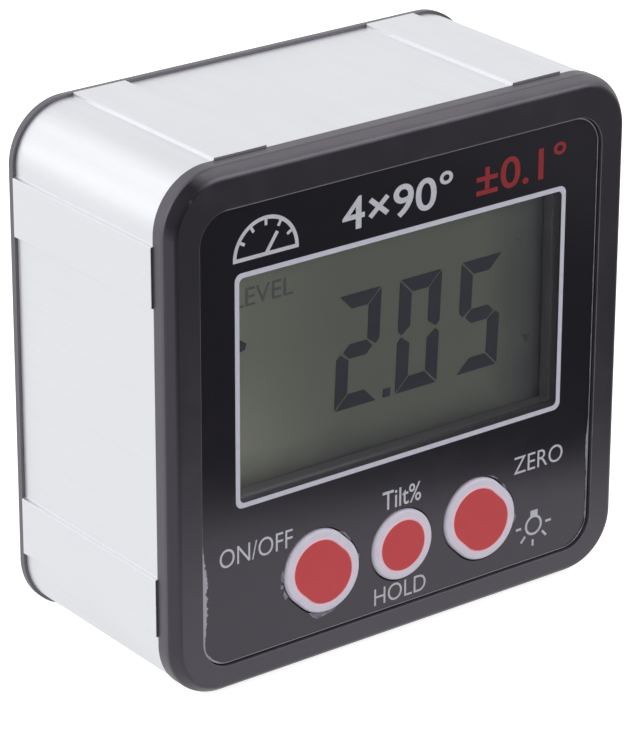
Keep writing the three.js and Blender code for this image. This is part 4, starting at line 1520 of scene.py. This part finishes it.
@dataclass
class Display(SubAssembly):
    """The display: a reflecting sheet, a clear glass in front of it and the strokes inside the glass."""

    stands_for: str = "display_glass"
    reading: str = "205"
    glass_depth: float = 0.1 * MM
    sheet_gap: float = 0.01 * MM
    sheet_rounds: Span = (0.02 * MM, 0.03 * MM)
    ink_front: float = 0.04 * MM
    ink_thickness: float = 0.02 * MM
    digit_width: float = 5.6 * MM
    digit_height: float = 12.78 * MM
    digit_low: float = -2.35 * MM
    digit_left: tuple[float, ...] = (-7.16 * MM, 0.92 * MM, 9.19 * MM)
    stroke: float = 1.62 * MM
    taper: float = 0.92
    nick: float = 0.5 * MM
    joint: float = 0.13 * MM
    slant: float = math.radians(2.5)
    point_size: float = 0.95 * MM
    point_x: float = -0.71 * MM
    words: tuple[Lettering, ...] = (
        Lettering("display_word_level", "LEVEL", (-20.0 * MM, -12.5 * MM), (12.33 * MM, 14.33 * MM)),
        Lettering("display_degree", "°", (16.95 * MM, 17.95 * MM), (11.18 * MM, 12.28 * MM)),
    )
    left_mark: tuple[Span, ...] = ((-20.15, 9.48), (-18.45, 8.28), (-18.65, 7.63), (-20.15, 7.38))
    down_mark: tuple[Span, ...] = ((18.3, 0.13), (19.5, 0.03), (19.1, -0.82), (18.75, -0.92))

    def build(self) -> None:
        """Models the display's layers and what it shows."""
        low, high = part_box("display_glass")
        inner = low.y + self.glass_depth
        back = block("display_reflector_sheet", Vector((low.x, inner, low.z)), high)
        soften(back, self.sheet_rounds[1])
        settle(back, [self.finishes.reflector], self.stands_for)
        front = block("display_front_sheet", low, Vector((high.x, inner - self.sheet_gap, high.z)))
        soften(front, self.sheet_rounds[0])
        settle(front, [self.finishes.glass, self.finishes.clear], self.stands_for)
        paint_faces(front, 1, not_front)
        ink = low.y - FACE_Y + self.ink_front
        layer = (ink, ink + self.ink_thickness)
        for number, (numeral, left) in enumerate(zip(self.reading, self.digit_left), 1):
            strokes = [self.stroke_shape(mark, left, layer) for mark in LIT_STROKES[numeral]]
            if number == 1:
                strokes.append(plate("point", (self.point_x, self.point_x + self.point_size), layer,
                                     (self.digit_low, self.digit_low + self.point_size)))
            digit = gather(strokes, f"display_digit_{number}")
            pivot = Matrix.Translation(place(left, 0, self.digit_low))
            lean = Matrix(((1, 0, math.tan(self.slant), 0), (0, 1, 0, 0), (0, 0, 1, 0), (0, 0, 0, 1)))
            digit.data.transform(pivot @ lean @ pivot.inverted())
            settle(digit, [self.finishes.segments], self.stands_for)
        for word in self.words:
            settle(word.build(layer[1], self.ink_thickness), [self.finishes.faint],
                   self.stands_for)
        for name, corners, finish in (("display_mark_left", self.left_mark, self.finishes.segments),
                                      ("display_mark_down", self.down_mark, self.finishes.dim)):
            settle(flat(name, corners, layer), [finish], self.stands_for)

    def stroke_shape(self, mark: str, left: float, layer: Span) -> Piece:
        """Adds one stroke of a numeral.

        Args:
            mark: The stroke's letter, a to f clockwise from the top and g in the middle.
            left: The numeral's left edge.
            layer: The depths of the ink's front and rear.

        Returns:
            The stroke, mitred where it meets its neighbours.
        """
        right = left + self.digit_width
        top = self.digit_low + self.digit_height
        middle = (self.digit_low + top) / 2
        half = self.stroke / 2
        gap = self.joint
        spans = {
            "a": ((left + gap, right - gap), (top - self.stroke, top)),
            "d": ((left + gap, right - gap), (self.digit_low, self.digit_low + self.stroke)),
            "g": ((left + half + gap, right - half - gap), (middle - half, middle + half)),
            "f": ((left, left + self.stroke), (middle + gap, top - gap)),
            "e": ((left, left + self.stroke), (self.digit_low + gap, middle - gap)),
            "b": ((right - self.stroke, right), (middle + gap, top - gap)),
            "c": ((right - self.stroke, right), (self.digit_low + gap, middle - gap)),
        }
        across, rises = spans[mark]
        obj = plate("stroke_" + mark, across, layer, rises)
        inner_z = {"a": -1, "d": 1}.get(mark, 0)
        inner_x = {"f": 1, "e": 1, "b": -1, "c": -1}.get(mark, 0)
        centre = place(sum(across) / 2, 0, sum(rises) / 2)
        inward_end = -1 if mark in "fb" else 1
        with editing(obj):
            if mark == "g":
                bevel_edges(obj, depthwise, half * self.taper)
            if inner_x:
                bevel_edges(obj, lambda edge: depthwise(edge) and all(
                    (v.co.x - centre.x) * inner_x < 0 and (v.co.z - centre.z) * inward_end > 0
                    for v in edge.verts), self.nick)
            for side in (1, -1):
                if inner_z:
                    pick(obj, "VERT", lambda v: (v.co.z - centre.z) * inner_z > 0
                         and (v.co.x - centre.x) * side > 0)
                    bpy.ops.transform.translate(value=(-side * self.stroke, 0, 0))
                if inner_x:
                    reach = half if side == inward_end else self.stroke
                    pick(obj, "VERT", lambda v: (v.co.x - centre.x) * inner_x > half / 2
                         and (v.co.z - centre.z) * side > 0)
                    bpy.ops.transform.translate(value=(0, 0, -side * reach))
        return obj


# Corners of the rubbed patches on the film round the buttons, across and up, in millimetres
SCUFFS: tuple[tuple[Span, ...], ...] = (
    ((-15.78, -17.13), (-15.43, -17.83), (-15.64, -18.71), (-16.05, -18.24), (-16.08, -17.71)),
    ((-16.05, -18.77), (-15.64, -18.98), (-15.75, -19.36), (-16.08, -19.21)),
    ((-15.58, -19.54), (-15.05, -20.45), (-15.43, -20.68), (-15.69, -20.13)),
    ((-12.43, -23.1), (-11.37, -23.45), (-10.14, -23.68), (-8.58, -23.39), (-9.14, -23.83),
     (-10.49, -24.04), (-11.25, -24.16), (-11.84, -23.8)),
    ((-8.49, -14.71), (-7.61, -15.04), (-6.96, -15.92), (-6.84, -16.3), (-7.16, -15.95), (-7.78, -15.21)),
    ((-6.11, -17.89), (-5.66, -18.13), (-5.64, -18.57), (-5.99, -18.74)),
    ((15.39, -19.24), (15.84, -19.51), (15.95, -20.01), (15.72, -20.45), (15.42, -20.3)),
    ((13.81, -15.27), (14.28, -15.66), (14.48, -16.24), (14.1, -15.98)),
    ((11.75, -13.8), (12.69, -14.13), (13.39, -14.71), (12.75, -14.42)),
)


# Rays of the lamp sign, from its centre, in millimetres
LAMP_RAYS: tuple[tuple[Span, Span], ...] = (
    ((-2.5, 0), (-1.75, 0)), ((1.7, 0), (2.5, 0)), ((-1.75, -1.75), (-1.15, -1.1)),
    ((-0.05, -2.5), (-0.05, -1.75)), ((1.25, -1.05), (1.85, -1.7)),
)


@dataclass
class FacePrint(SubAssembly):
    """What is printed on the film: the window's border, the words and the signs."""

    depth: float = 0.45 * MM
    thickness: float = 0.02 * MM
    border_half_width: float = 21.75 * MM
    border_rises: Span = (-8.55 * MM, 17.35 * MM)
    border_line: float = 0.55 * MM
    border_radius: float = 0.85 * MM
    words: tuple[Lettering, ...] = (
        Lettering("word_on_off", "ON/OFF", (-23.85 * MM, -14.5 * MM), (-14.75 * MM, -12.65 * MM), -0.004),
        Lettering("word_tilt", "Tilt%", (-2.6 * MM, 2.6 * MM), (-14.1 * MM, -11.9 * MM), 0.006),
        Lettering("word_hold", "HOLD", (-3.6 * MM, 3.4 * MM), (-25.0 * MM, -23.0 * MM), -0.004),
        Lettering("word_zero", "ZERO", (15.5 * MM, 22.4 * MM), (-14.85 * MM, -12.8 * MM), -0.004),
        Lettering("range_numbers", "4×90°", (-8.2 * MM, 6.2 * MM), (18.7 * MM, 22.5 * MM), 0.012),
    )
    red_word: Lettering = Lettering("accuracy_numbers", "±0.1°", (9.4 * MM, 21.6 * MM),
                                    (18.7 * MM, 22.4 * MM), 0.012)
    lamp_centre: Span = (18.5 * MM, -21.65 * MM)
    lamp_radius: float = 1.2 * MM
    lamp_line: float = 0.28 * MM
    lamp_base: tuple[Span, Span] = ((-0.48 * MM, 0.55 * MM), (1.1 * MM, 1.8 * MM))
    dial_centre: Span = (-17.85 * MM, 18.75 * MM)
    dial_radius: float = 4.1 * MM
    dial_line: float = 0.42 * MM
    tick_insets: Span = (1.05 * MM, 0.1 * MM)
    tick_line: float = 0.336 * MM
    tick_degrees: range = range(30, 180, 30)
    needle_degrees: float = 56
    needle_share: float = 0.62

    def build(self) -> None:
        """Models everything that is printed on the film."""
        border = plate("window_border", both_ways(self.border_half_width), self.layer(),
                       self.border_rises, self.border_radius, SMALL_CORNER_STEPS)
        line = self.border_line
        inner_rises = (self.border_rises[0] + line, self.border_rises[1] - line)
        cut_from(border, plate("inside", (line - self.border_half_width, self.border_half_width - line),
                               (self.depth - OVERRUN, self.depth + OVERRUN), inner_rises,
                               self.border_radius - line / 2, SMALL_CORNER_STEPS))
        settle(border, [self.finishes.line_ink])
        for word in (*self.words, self.red_word):
            ink = self.finishes.red_ink if word is self.red_word else self.finishes.pale_ink
            settle(word.build(self.depth, self.thickness), [ink])
        settle(self.lamp_sign(), [self.finishes.pale_ink])
        settle(self.protractor_sign(), [self.finishes.pale_ink])
        scuffs = [flat("scuff", corners, self.layer()) for corners in SCUFFS]
        settle(gather(scuffs, "button_surround_scuffs"), [self.finishes.scuff])

    def layer(self) -> Span:
        """Gives the depths of the ink's front and rear."""
        return (self.depth - self.thickness, self.depth)

    def ring(self, name: str, centre: Span, radius: float, line: float) -> Piece:
        """Adds a printed ring.

        Args:
            name: The object's name.
            centre: Its middle.
            radius: Its outer radius.
            line: The width of its line.

        Returns:
            The ring.
        """
        front, rear = self.layer()
        disc = rod(name, radius, place(centre[0], rear, centre[1]), place(centre[0], front, centre[1]), 64)
        return cut_from(disc, rod("inside", radius - line, place(centre[0], rear + OVERRUN, centre[1]),
                                  place(centre[0], front - OVERRUN, centre[1]), 64))

    def dash(self, start: Span, end: Span, line: float) -> Piece:
        """Adds a printed straight line.

        Args:
            start: Where it starts.
            end: Where it ends.
            line: Its width.

        Returns:
            The line.
        """
        length = math.hypot(end[0] - start[0], end[1] - start[1])
        angle = math.atan2(end[1] - start[1], end[0] - start[0])
        middle = place((start[0] + end[0]) / 2, self.depth - self.thickness / 2, (start[1] + end[1]) / 2)
        clear_selection()
        bpy.ops.mesh.primitive_cube_add(size=1, location=middle, rotation=(0, -angle, 0),
                                        scale=(length, self.thickness, line))
        bpy.ops.object.transform_apply()
        return bpy.context.object

    def lamp_sign(self) -> Piece:
        """Draws the lamp sign: a ring with a square base and five rays."""
        x, z = self.lamp_centre
        across, rises = self.lamp_base
        sign = self.ring("lamp_sign", self.lamp_centre, self.lamp_radius, self.lamp_line)
        base = plate("base", (x + across[0], x + across[1]), self.layer(), (z + rises[0], z + rises[1]))
        rays = [self.dash((x + start[0] * MM, z + start[1] * MM), (x + end[0] * MM, z + end[1] * MM),
                          self.lamp_line) for start, end in LAMP_RAYS]
        return add_to(sign, base, *rays)

    def protractor_sign(self) -> Piece:
        """Draws a plain half protractor: an arc with ticks, a base line and a needle."""
        centre, radius = self.dial_centre, self.dial_radius
        sign = self.ring("protractor_sign", centre, radius, self.dial_line)
        with editing(sign):
            bpy.ops.mesh.select_all(action="SELECT")
            bpy.ops.mesh.bisect(plane_co=place(centre[0], 0, centre[1]), plane_no=(0, 0, 1),
                                use_fill=True, clear_inner=True)
        base = self.dash((centre[0] - radius, centre[1]), (centre[0] + radius, centre[1]), self.dial_line)
        inner, outer = radius - self.tick_insets[0], radius - self.tick_insets[1]
        ticks = [self.dash(self.on_dial(inner, degrees), self.on_dial(outer, degrees), self.tick_line)
                 for degrees in self.tick_degrees]
        tip = self.on_dial(radius * self.needle_share, self.needle_degrees)
        return add_to(sign, base, *ticks, self.dash(centre, tip, self.dial_line))

    def on_dial(self, reach: float, degrees: float) -> Span:
        """Gives the place at a distance and an angle from the half protractor's centre."""
        turn = math.radians(degrees)
        return (self.dial_centre[0] + reach * math.cos(turn), self.dial_centre[1] + reach * math.sin(turn))


@dataclass
class Button(SubAssembly):
    """One button: a silver cap with a skirt and a red face let into it."""

    shape: ButtonShape
    face_top: float = 0.1 * MM
    pocket: float = 0.5 * MM
    flange: Span = (2.9 * MM, 3.6 * MM)
    flange_lip: float = 0.7 * MM
    stem_radius: float = 1.5 * MM
    stem_length: float = 0.5 * MM
    rim_round: float = 0.34 * MM
    face_gap: float = 0.02 * MM
    face_round: float = 0.09 * MM
    highlight_band: float = 0.2 * MM

    def build(self) -> None:
        """Models the cap and its face."""
        shape = self.shape
        node = f"button_{shape.name}"
        rear = self.flange[1]
        cap = shape.outline(f"{shape.name}_button_cap", shape.skirt + self.flange_lip, self.flange[0], rear)
        level = FACE_Y + self.face_top
        with editing(cap):
            pick(cap, "FACE", facing(FORWARD))
            bpy.ops.mesh.inset(thickness=self.flange_lip)
            extrude(FORWARD * (self.flange[0] - self.face_top))
            bevel_edges(cap, at_depth(self.face_top), self.rim_round, 6)
            pick(cap, "FACE", lambda face: len(face.verts) > 4 and facing(FORWARD, -level)(face))
            bpy.ops.mesh.inset(thickness=shape.skirt - self.rim_round - self.highlight_band)
            bpy.ops.mesh.inset(thickness=self.highlight_band)
            extrude(REARWARD * self.pocket)
        add_to(cap, rod("stem", self.stem_radius, place(shape.x, rear - self.pocket, shape.rise),
                        place(shape.x, rear + self.stem_length, shape.rise)))
        settle(cap, [self.finishes.silver, self.finishes.painted_rim_highlight], node, shape.body)
        # Painted highlight on the pocket's band and walls round the red face
        paint_faces(cap, 1, lambda polygon: polygon.center.y < level + self.pocket - TOLERANCE
                    and shape.distance(polygon.center) < self.highlight_band)
        face = shape.outline(f"{shape.name}_button_inlay", -self.face_gap, self.face_top,
                             self.face_top + self.pocket)
        soften(face, self.face_round, 4)
        settle(face, [self.finishes.red, self.finishes.painted_rim_highlight], node + "_face",
               shape.body)
        # Painted highlight on the rounded sides of the red face
        paint_faces(face, 1, lambda polygon: polygon.normal.y > -0.97)


@dataclass
class CoverScrews(SubAssembly):
    """Four countersunk screws with a cross recess in the rear cover."""

    radii: Span = (1 * MM, 1.8 * MM)
    head_height: float = 1 * MM
    cross_reach: float = 1.08 * MM
    cross_half: float = 0.25 * MM
    cross_depth: float = 0.6 * MM
    edge_round: float = 0.06 * MM

    def build(self) -> None:
        """Models the screws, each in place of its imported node."""
        for number in SCREW_NUMBERS:
            low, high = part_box(f"cover_screw_{number}")
            centre = middle_of(f"cover_screw_{number}")
            screw = flared_rod(f"cover_screw_head_{number}", self.radii,
                               Vector((centre.x, low.y, centre.z)), self.neck(number), self.head_height)
            floor = high.y - self.cross_depth
            long, short = self.cross_reach, self.cross_half
            for reach_x, reach_z in ((long, short), (short, long)):
                cut_from(screw, block("cross", Vector((centre.x - reach_x, floor, centre.z - reach_z)),
                                      Vector((centre.x + reach_x, high.y + OVERRUN, centre.z + reach_z))))
            soften(screw, self.edge_round, 2, 40)
            settle(screw, [self.finishes.zinc], f"cover_screw_{number}")

    def neck(self, number: int) -> Vector:
        """Gives the place where one screw starts to widen."""
        centre = middle_of(f"cover_screw_{number}")
        return Vector((centre.x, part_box(f"cover_screw_{number}")[1].y - self.head_height, centre.z))


@dataclass
class RearCover(SubAssembly):
    """The rear cover with the battery bay and the channel of its door."""

    half_width: float = 30.21 * MM
    half_height: float = 29.21 * MM
    corner_radius: float = 6.7 * MM
    depths: Span = (27.7 * MM, 29.2 * MM)
    chamfer: float = 0.7 * MM
    chamfer_round: float = 0.16 * MM
    bay_half_width: float = 25.2 * MM
    bay_half_height: float = 11.1 * MM
    bay_front: float = 15.75 * MM
    bay_floor: float = 16.75 * MM
    bay_wall: float = 1 * MM
    flange_half_height: float = 13.8 * MM
    root_depth: float = 0.3 * MM
    channel_left: float = -25.6 * MM
    channel_half_height: float = 12.8 * MM
    groove_half_height: float = 13.6 * MM
    groove_rear: float = 28.6 * MM
    sink_radii: Span = (1.15 * MM, 1.95 * MM)
    tab_half: float = 1.15 * MM
    tab_gap: float = 0.15 * MM
    slot_overlap: float = 0.05 * MM

    def build(self, screws: CoverScrews) -> None:
        """Models the cover.

        Args:
            screws: The cover's screws, which it is sunk for.
        """
        front, rear = self.depths
        cover = plate("rear_cover_shell", both_ways(self.half_width), (front, rear - self.chamfer),
                      both_ways(self.half_height), self.corner_radius, CORNER_STEPS)
        with editing(cover):
            pick(cover, "FACE", facing(REARWARD))
            bpy.ops.mesh.inset(thickness=self.chamfer, depth=self.chamfer)
            for depth in (rear - self.chamfer, rear):
                bevel_edges(cover, at_depth(depth), self.chamfer_round, 3)
        self.carry_bay(cover)
        self.open_bay(cover)
        for number in SCREW_NUMBERS:
            neck = screws.neck(number)
            start = Vector((neck.x, FACE_Y + front - OVERRUN, neck.z))
            cut_from(cover, flared_rod("sink", self.sink_radii, start, neck, screws.head_height, OVERRUN))
        settle(cover, [self.finishes.black, self.finishes.cover_side_painted_light], "rear_cover")
        # Painted light on the cover's outer walls and its front-facing faces
        paint_faces(cover, 1, lambda polygon: on_side(polygon) or polygon.normal.y < -0.9)

    def carry_bay(self, cover: Piece) -> None:
        """Adds the bay's walls, its flange and the locating bars to the cover's front.

        Args:
            cover: The cover as a plain plate.
        """
        front = self.depths[0]
        root = front + self.root_depth
        bars = (front - SPIGOTS.length, root)
        outer_x, outer_z = self.bay_half_width + self.bay_wall, self.bay_half_height + self.bay_wall
        add_to(cover,
               plate("bay", both_ways(outer_x), (self.bay_front, root), both_ways(outer_z)),
               plate("flange", both_ways(outer_x), bars, both_ways(self.flange_half_height)))
        SPIGOTS.add(cover, bars)

    def open_bay(self, cover: Piece) -> None:
        """Cuts the bay, the door's channel with its grooves and the slots of the contacts.

        Args:
            cover: The cover with its bay walls.
        """
        beyond = self.depths[1] + OVERRUN
        right = self.half_width + OVERRUN
        for name, across, depths, half in (
                ("space", both_ways(self.bay_half_width), (self.bay_floor, beyond), self.bay_half_height),
                ("channel", (self.channel_left, right), (self.depths[0], beyond), self.channel_half_height),
                ("groove", (self.channel_left, right), (self.depths[0], self.groove_rear),
                 self.groove_half_height)):
            cut_from(cover, plate(name, across, depths, both_ways(half)))
        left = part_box("contact_positive")[0].x - self.tab_gap
        for side in (1, -1):
            z = side * (middle_of("contact_positive").z - MIDDLE_Z)
            cut_from(cover, plate("slot", (left, self.bay_half_width + self.slot_overlap),
                                  (self.bay_front - OVERRUN, self.bay_floor + OVERRUN),
                                  (z - self.tab_half, z + self.tab_half)))


@dataclass
class BatteryDoor(SubAssembly):
    """The battery door, with a ribbed grip and a moulded arrow that shows which way it slides."""

    half_height: float = 12.6 * MM
    tongue_reach: float = 13.4 * MM
    across: Span = (-25.4 * MM, 30.11 * MM)
    depths: Span = (27.85 * MM, 29.15 * MM)
    tongue_rear: float = 28.45 * MM
    chamfer: float = 0.7 * MM
    grip: Span = (17.11 * MM, 26.11 * MM)
    grip_half_height: float = 6.5 * MM
    grip_depth: float = 0.5 * MM
    grip_radius: float = 1.2 * MM
    rib_count: int = 5
    rib_share: float = 0.45
    rib_height: float = 0.4 * MM
    rib_root: float = 0.05 * MM
    rib_inset: float = 0.35 * MM
    arrow_tip: float = 12.4 * MM
    arrow_size: float = 3.2 * MM
    arrow_depth: float = 0.42 * MM
    edge_round: float = 0.09 * MM

    def build(self) -> None:
        """Models the door."""
        right = self.across[1]
        front, rear = self.depths
        door = plate("battery_door_panel", self.across, self.depths, both_ways(self.half_height))
        with editing(door):
            on_rear = at_depth(rear)
            bevel_edges(door, lambda edge: on_rear(edge) and all(
                abs(v.co.x - right) < TOLERANCE for v in edge.verts), self.chamfer)
        add_to(door, plate("tongue", self.across, (front, self.tongue_rear), both_ways(self.tongue_reach)))
        cut_from(door, plate("grip", self.grip, (rear - self.grip_depth, rear + OVERRUN),
                             both_ways(self.grip_half_height), self.grip_radius, SMALL_CORNER_STEPS),
                 self.arrow(rear))
        pitch = (self.grip[1] - self.grip[0]) / self.rib_count
        half = pitch * self.rib_share / 2
        floor = rear - self.grip_depth
        reach = self.grip_half_height - self.rib_inset
        for number in range(self.rib_count):
            x = self.grip[0] + (number + 0.5) * pitch
            add_to(door, plate("rib", (x - half, x + half),
                               (floor - self.rib_root, floor + self.rib_height), both_ways(reach)))
        soften(door, self.edge_round, 2)
        settle(door, [self.finishes.black], "battery_door", Body.DOOR)

    def arrow(self, rear: float) -> Piece:
        """Adds the arrow that is sunk into the door's face.

        Args:
            rear: The depth of the door's outer face.

        Returns:
            The arrow's shape.
        """
        tip = self.arrow_tip
        arrow = plate("arrow", (tip - self.arrow_size, tip), (rear - self.arrow_depth, rear + OVERRUN),
                      both_ways(self.arrow_size))
        with editing(arrow):
            pick(arrow, "VERT", lambda v: v.co.x > tip - self.arrow_size / 2)
            bpy.ops.transform.resize(value=(1, 1, 0.01), center_override=place(tip, 0, 0))
        return arrow


@dataclass
class Cells(SubAssembly):
    """The two cells in their printed sleeves."""

    nub_radius: float = 1.9 * MM
    nub_length: float = 1.2 * MM
    shoulder: float = 0.9 * MM
    dish: float = 0.15 * MM
    sides: int = 96
    edge_round: float = 0.4 * MM

    def build(self) -> None:
        """Models both cells, which lie opposite ways round."""
        for number, side in ((1, 1), (2, -1)):
            low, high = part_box(f"battery_cell_{number}")
            centre = middle_of(f"battery_cell_{number}")
            radius = (high.z - low.z) / 2
            flat_end, tip = (low.x, high.x) if side > 0 else (high.x, low.x)
            crown = tip - side * self.nub_length
            outward = Vector((side, 0, 0))
            cell = rod(f"cell_{number}", radius, Vector((flat_end, centre.y, centre.z)),
                       Vector((crown, centre.y, centre.z)), self.sides)
            with editing(cell):
                pick(cell, "FACE", facing(outward))
                bpy.ops.mesh.inset(thickness=self.shoulder)
                extrude(outward * -self.dish)
                bpy.ops.mesh.inset(thickness=radius - self.shoulder - self.nub_radius)
                extrude(outward * (self.nub_length + self.dish))
            soften(cell, self.edge_round, 4, 60)
            sleeve = CellSleeve(f"cell_sleeve_{number}", crown, -side).make()
            settle(cell, [sleeve, self.finishes.nickel], f"battery_cell_{number}")
            bare = radius - self.shoulder
            paint_faces(cell, 1, lambda polygon: math.hypot(polygon.center.y - centre.y,
                                                            polygon.center.z - centre.z) < bare)


def dress_inner_parts(finishes: Finishes) -> None:
    """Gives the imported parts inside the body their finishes.

    Args:
        finishes: The shared materials.
    """
    sides = [button.name for button in BUTTONS]
    dressed = {
        finishes.chip: [f"tact_switch_{side}" for side in sides] + ["microcontroller", "tilt_sensor"],
        finishes.zinc: ([f"switch_plunger_{side}" for side in sides] + ["crystal", "capacitor"]
                        + [f"{part}_screw_{number}" for part in ("bezel", "board")
                           for number in SCREW_NUMBERS]),
        finishes.white: ["display_holder", "backlight_lamp"],
        finishes.lens: ["light_guide"],
        finishes.rubber: ["connector_strip"],
        finishes.board: ["circuit_board"],
        finishes.spring: ["contact_positive", "contact_negative", "contact_bridge"],
        finishes.red_wire: ["battery_lead_positive"],
        finishes.black_wire: ["battery_lead_negative"],
    }
    for finish, nodes in dressed.items():
        for node in nodes:
            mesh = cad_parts[node].data
            mesh.materials.clear()
            mesh.materials.append(finish)
        log.info("%s: %d packed parts", finish.name, len(nodes))


@dataclass(frozen=True)
class Lamp:
    """A large soft lamp that looks at the body."""

    name: str
    spot: Triple
    size: float
    power: float

    def hang(self) -> None:
        """Adds the lamp."""
        clear_selection()
        way = Vector((0, 0, MIDDLE_Z)) - Vector(self.spot)
        bpy.ops.object.light_add(type="AREA", location=self.spot,
                                 rotation=way.to_track_quat("-Z", "Y").to_euler())
        lamp = bpy.context.object
        lamp.name = self.name
        lamp.data.size = self.size
        lamp.data.energy = self.power


@dataclass
class Studio:
    """The floor, the lamps, the white surroundings and the camera."""

    floor_half: float = 2.0
    floor_colour: Colour = (0.8, 0.8, 0.8)
    floor_glow: float = 0.8
    floor_drop: float = 0.01 * MM
    ambient: float = 0.55
    mirrored_front: float = 0.05
    mirrored_ceiling: float = 0.3
    mirrored_front_skew: float = -0.307
    mirrored_front_start: float = -43.3 * MM
    mirrored_front_end: float = -54.8 * MM
    mirrored_right: float = 0.2
    mirrored_right_span: Span = (88 * MM, 104 * MM)
    dark_behind: Span = (-0.6, -0.2)
    dark_below: Span = (0.1, 0.4)
    ceiling_from: Span = (0.72, 0.90)
    lamps: tuple[Lamp, ...] = (
        Lamp("top_softbox", (-0.3, 0.42, 0.66), 0.6, 0.5),
        Lamp("left_softbox", (-0.75, 0.1, 0.35), 0.6, 1.4),
        Lamp("front_softbox", (0.5, -0.66, 0.64), 0.5, 2.15),
        Lamp("rear_left_softbox", (-0.6, 0.72, 0.16), 0.4, 0.2),
    )
    camera_place: Triple = (-0.229981, -0.301290, 0.187511)
    camera_forward: Triple = (0.556730, 0.732990, -0.390870)
    camera_roll: float = math.radians(0.172)
    lens: float = 188.57
    sensor: float = 36.0

    def build(self) -> None:
        """Sets up the whole studio."""
        self.add_floor()
        self.light_world()
        for lamp in self.lamps:
            lamp.hang()
        self.add_camera()
        bpy.context.scene.view_settings.view_transform = "Standard"

    def add_floor(self) -> None:
        """Lays the pale floor, which keeps the shadow and is white to the camera."""
        clear_selection()
        bpy.ops.mesh.primitive_plane_add(size=2 * self.floor_half, location=(0, 0, -self.floor_drop))
        floor = bpy.context.object
        floor.name = "studio_floor"
        tree = Tree("studio_floor")
        gloss, seen = self.rays(tree)
        matt = tree.surface("BsdfDiffuse", {"Color": self.floor_colour})
        glow = tree.surface("Emission", {"Color": WHITE, "Strength": self.floor_glow})
        direct = tree.overlay(seen, matt, tree.surface("AddShader", {0: matt, 1: glow}))
        sideways = tree.sum("MULTIPLY", tree.axis("X"), self.mirrored_front_skew)
        ahead = tree.sum("ADD", tree.axis("Y"), sideways)
        card = tree.spread(ahead, (self.mirrored_front_end, self.mirrored_front_start),
                           (self.mirrored_front, 1.0))
        right = tree.spread(tree.axis("X"), self.mirrored_right_span, (0.0, self.mirrored_right))
        mirrored = tree.surface("Emission", {"Color": WHITE, "Strength": tree.sum("MAXIMUM", card, right)})
        floor.data.materials.append(tree.close(tree.overlay(gloss, direct, mirrored)))

    def rays(self, tree: Tree) -> tuple[Socket, Socket]:
        """Says whether a ray comes from gloss, and whether the camera sees by it."""
        path = tree.add("LightPath").outputs
        return path["Is Glossy Ray"], tree.sum("MAXIMUM", path["Is Camera Ray"], path["Is Transmission Ray"])

    def light_world(self) -> None:
        """Gives plain white surroundings, with a dark side in front that only gloss mirrors."""
        world = bpy.data.worlds.new("studio_world")
        bpy.context.scene.world = world
        tree = Tree("studio_world", world)
        gloss, seen = self.rays(tree)
        behind = tree.spread(tree.axis("Y"), self.dark_behind)
        above = tree.spread(tree.axis("Z"), self.dark_below)
        level = tree.spread(tree.sum("MAXIMUM", behind, above), (0.0, 1.0), (self.mirrored_front, 1.0))
        ceiling = tree.spread(tree.axis("Z"), self.ceiling_from, (1.0, self.mirrored_ceiling))
        mirrored = tree.sum("MULTIPLY", level, ceiling)
        plain = tree.spread(seen, (0.0, 1.0), (self.ambient, 1.0))
        strength = tree.add("Mix", {"Factor": gloss, "A": plain, "B": mirrored}).outputs[0]
        tree.close(tree.surface("Background", {"Color": WHITE, "Strength": strength}))

    def add_camera(self) -> None:
        """Places the camera as the photograph was taken."""
        clear_selection()
        turn = Vector(self.camera_forward).to_track_quat("-Z", "Y").to_matrix()
        turn = turn @ Matrix.Rotation(self.camera_roll, 3, "Z")
        bpy.ops.object.camera_add(location=self.camera_place, rotation=turn.to_euler())
        camera = bpy.context.object
        camera.name = "studio_camera"
        camera.data.lens = self.lens
        camera.data.sensor_width = self.sensor
        bpy.context.scene.camera = camera


def main() -> None:
    """Builds and dresses every piece, in order, and sets up the studio."""
    logging.basicConfig(level=logging.INFO, format="%(name)s %(message)s")
    finishes = Finishes()
    magnets = BaseMagnets(finishes)
    film = Film(finishes)
    lens = Lens(finishes)
    screws = CoverScrews(finishes)
    AluminiumRing(finishes).build(magnets)
    magnets.build()
    Bezel(finishes).build(film, lens)
    film.build(lens)
    lens.build()
    Display(finishes).build()
    FacePrint(finishes).build()
    for shape in BUTTONS:
        Button(finishes, shape).build()
    RearCover(finishes).build(screws)
    screws.build()
    BatteryDoor(finishes).build()
    Cells(finishes).build()
    dress_inner_parts(finishes)
    Studio().build()


if __name__ == "__main__":
    main()
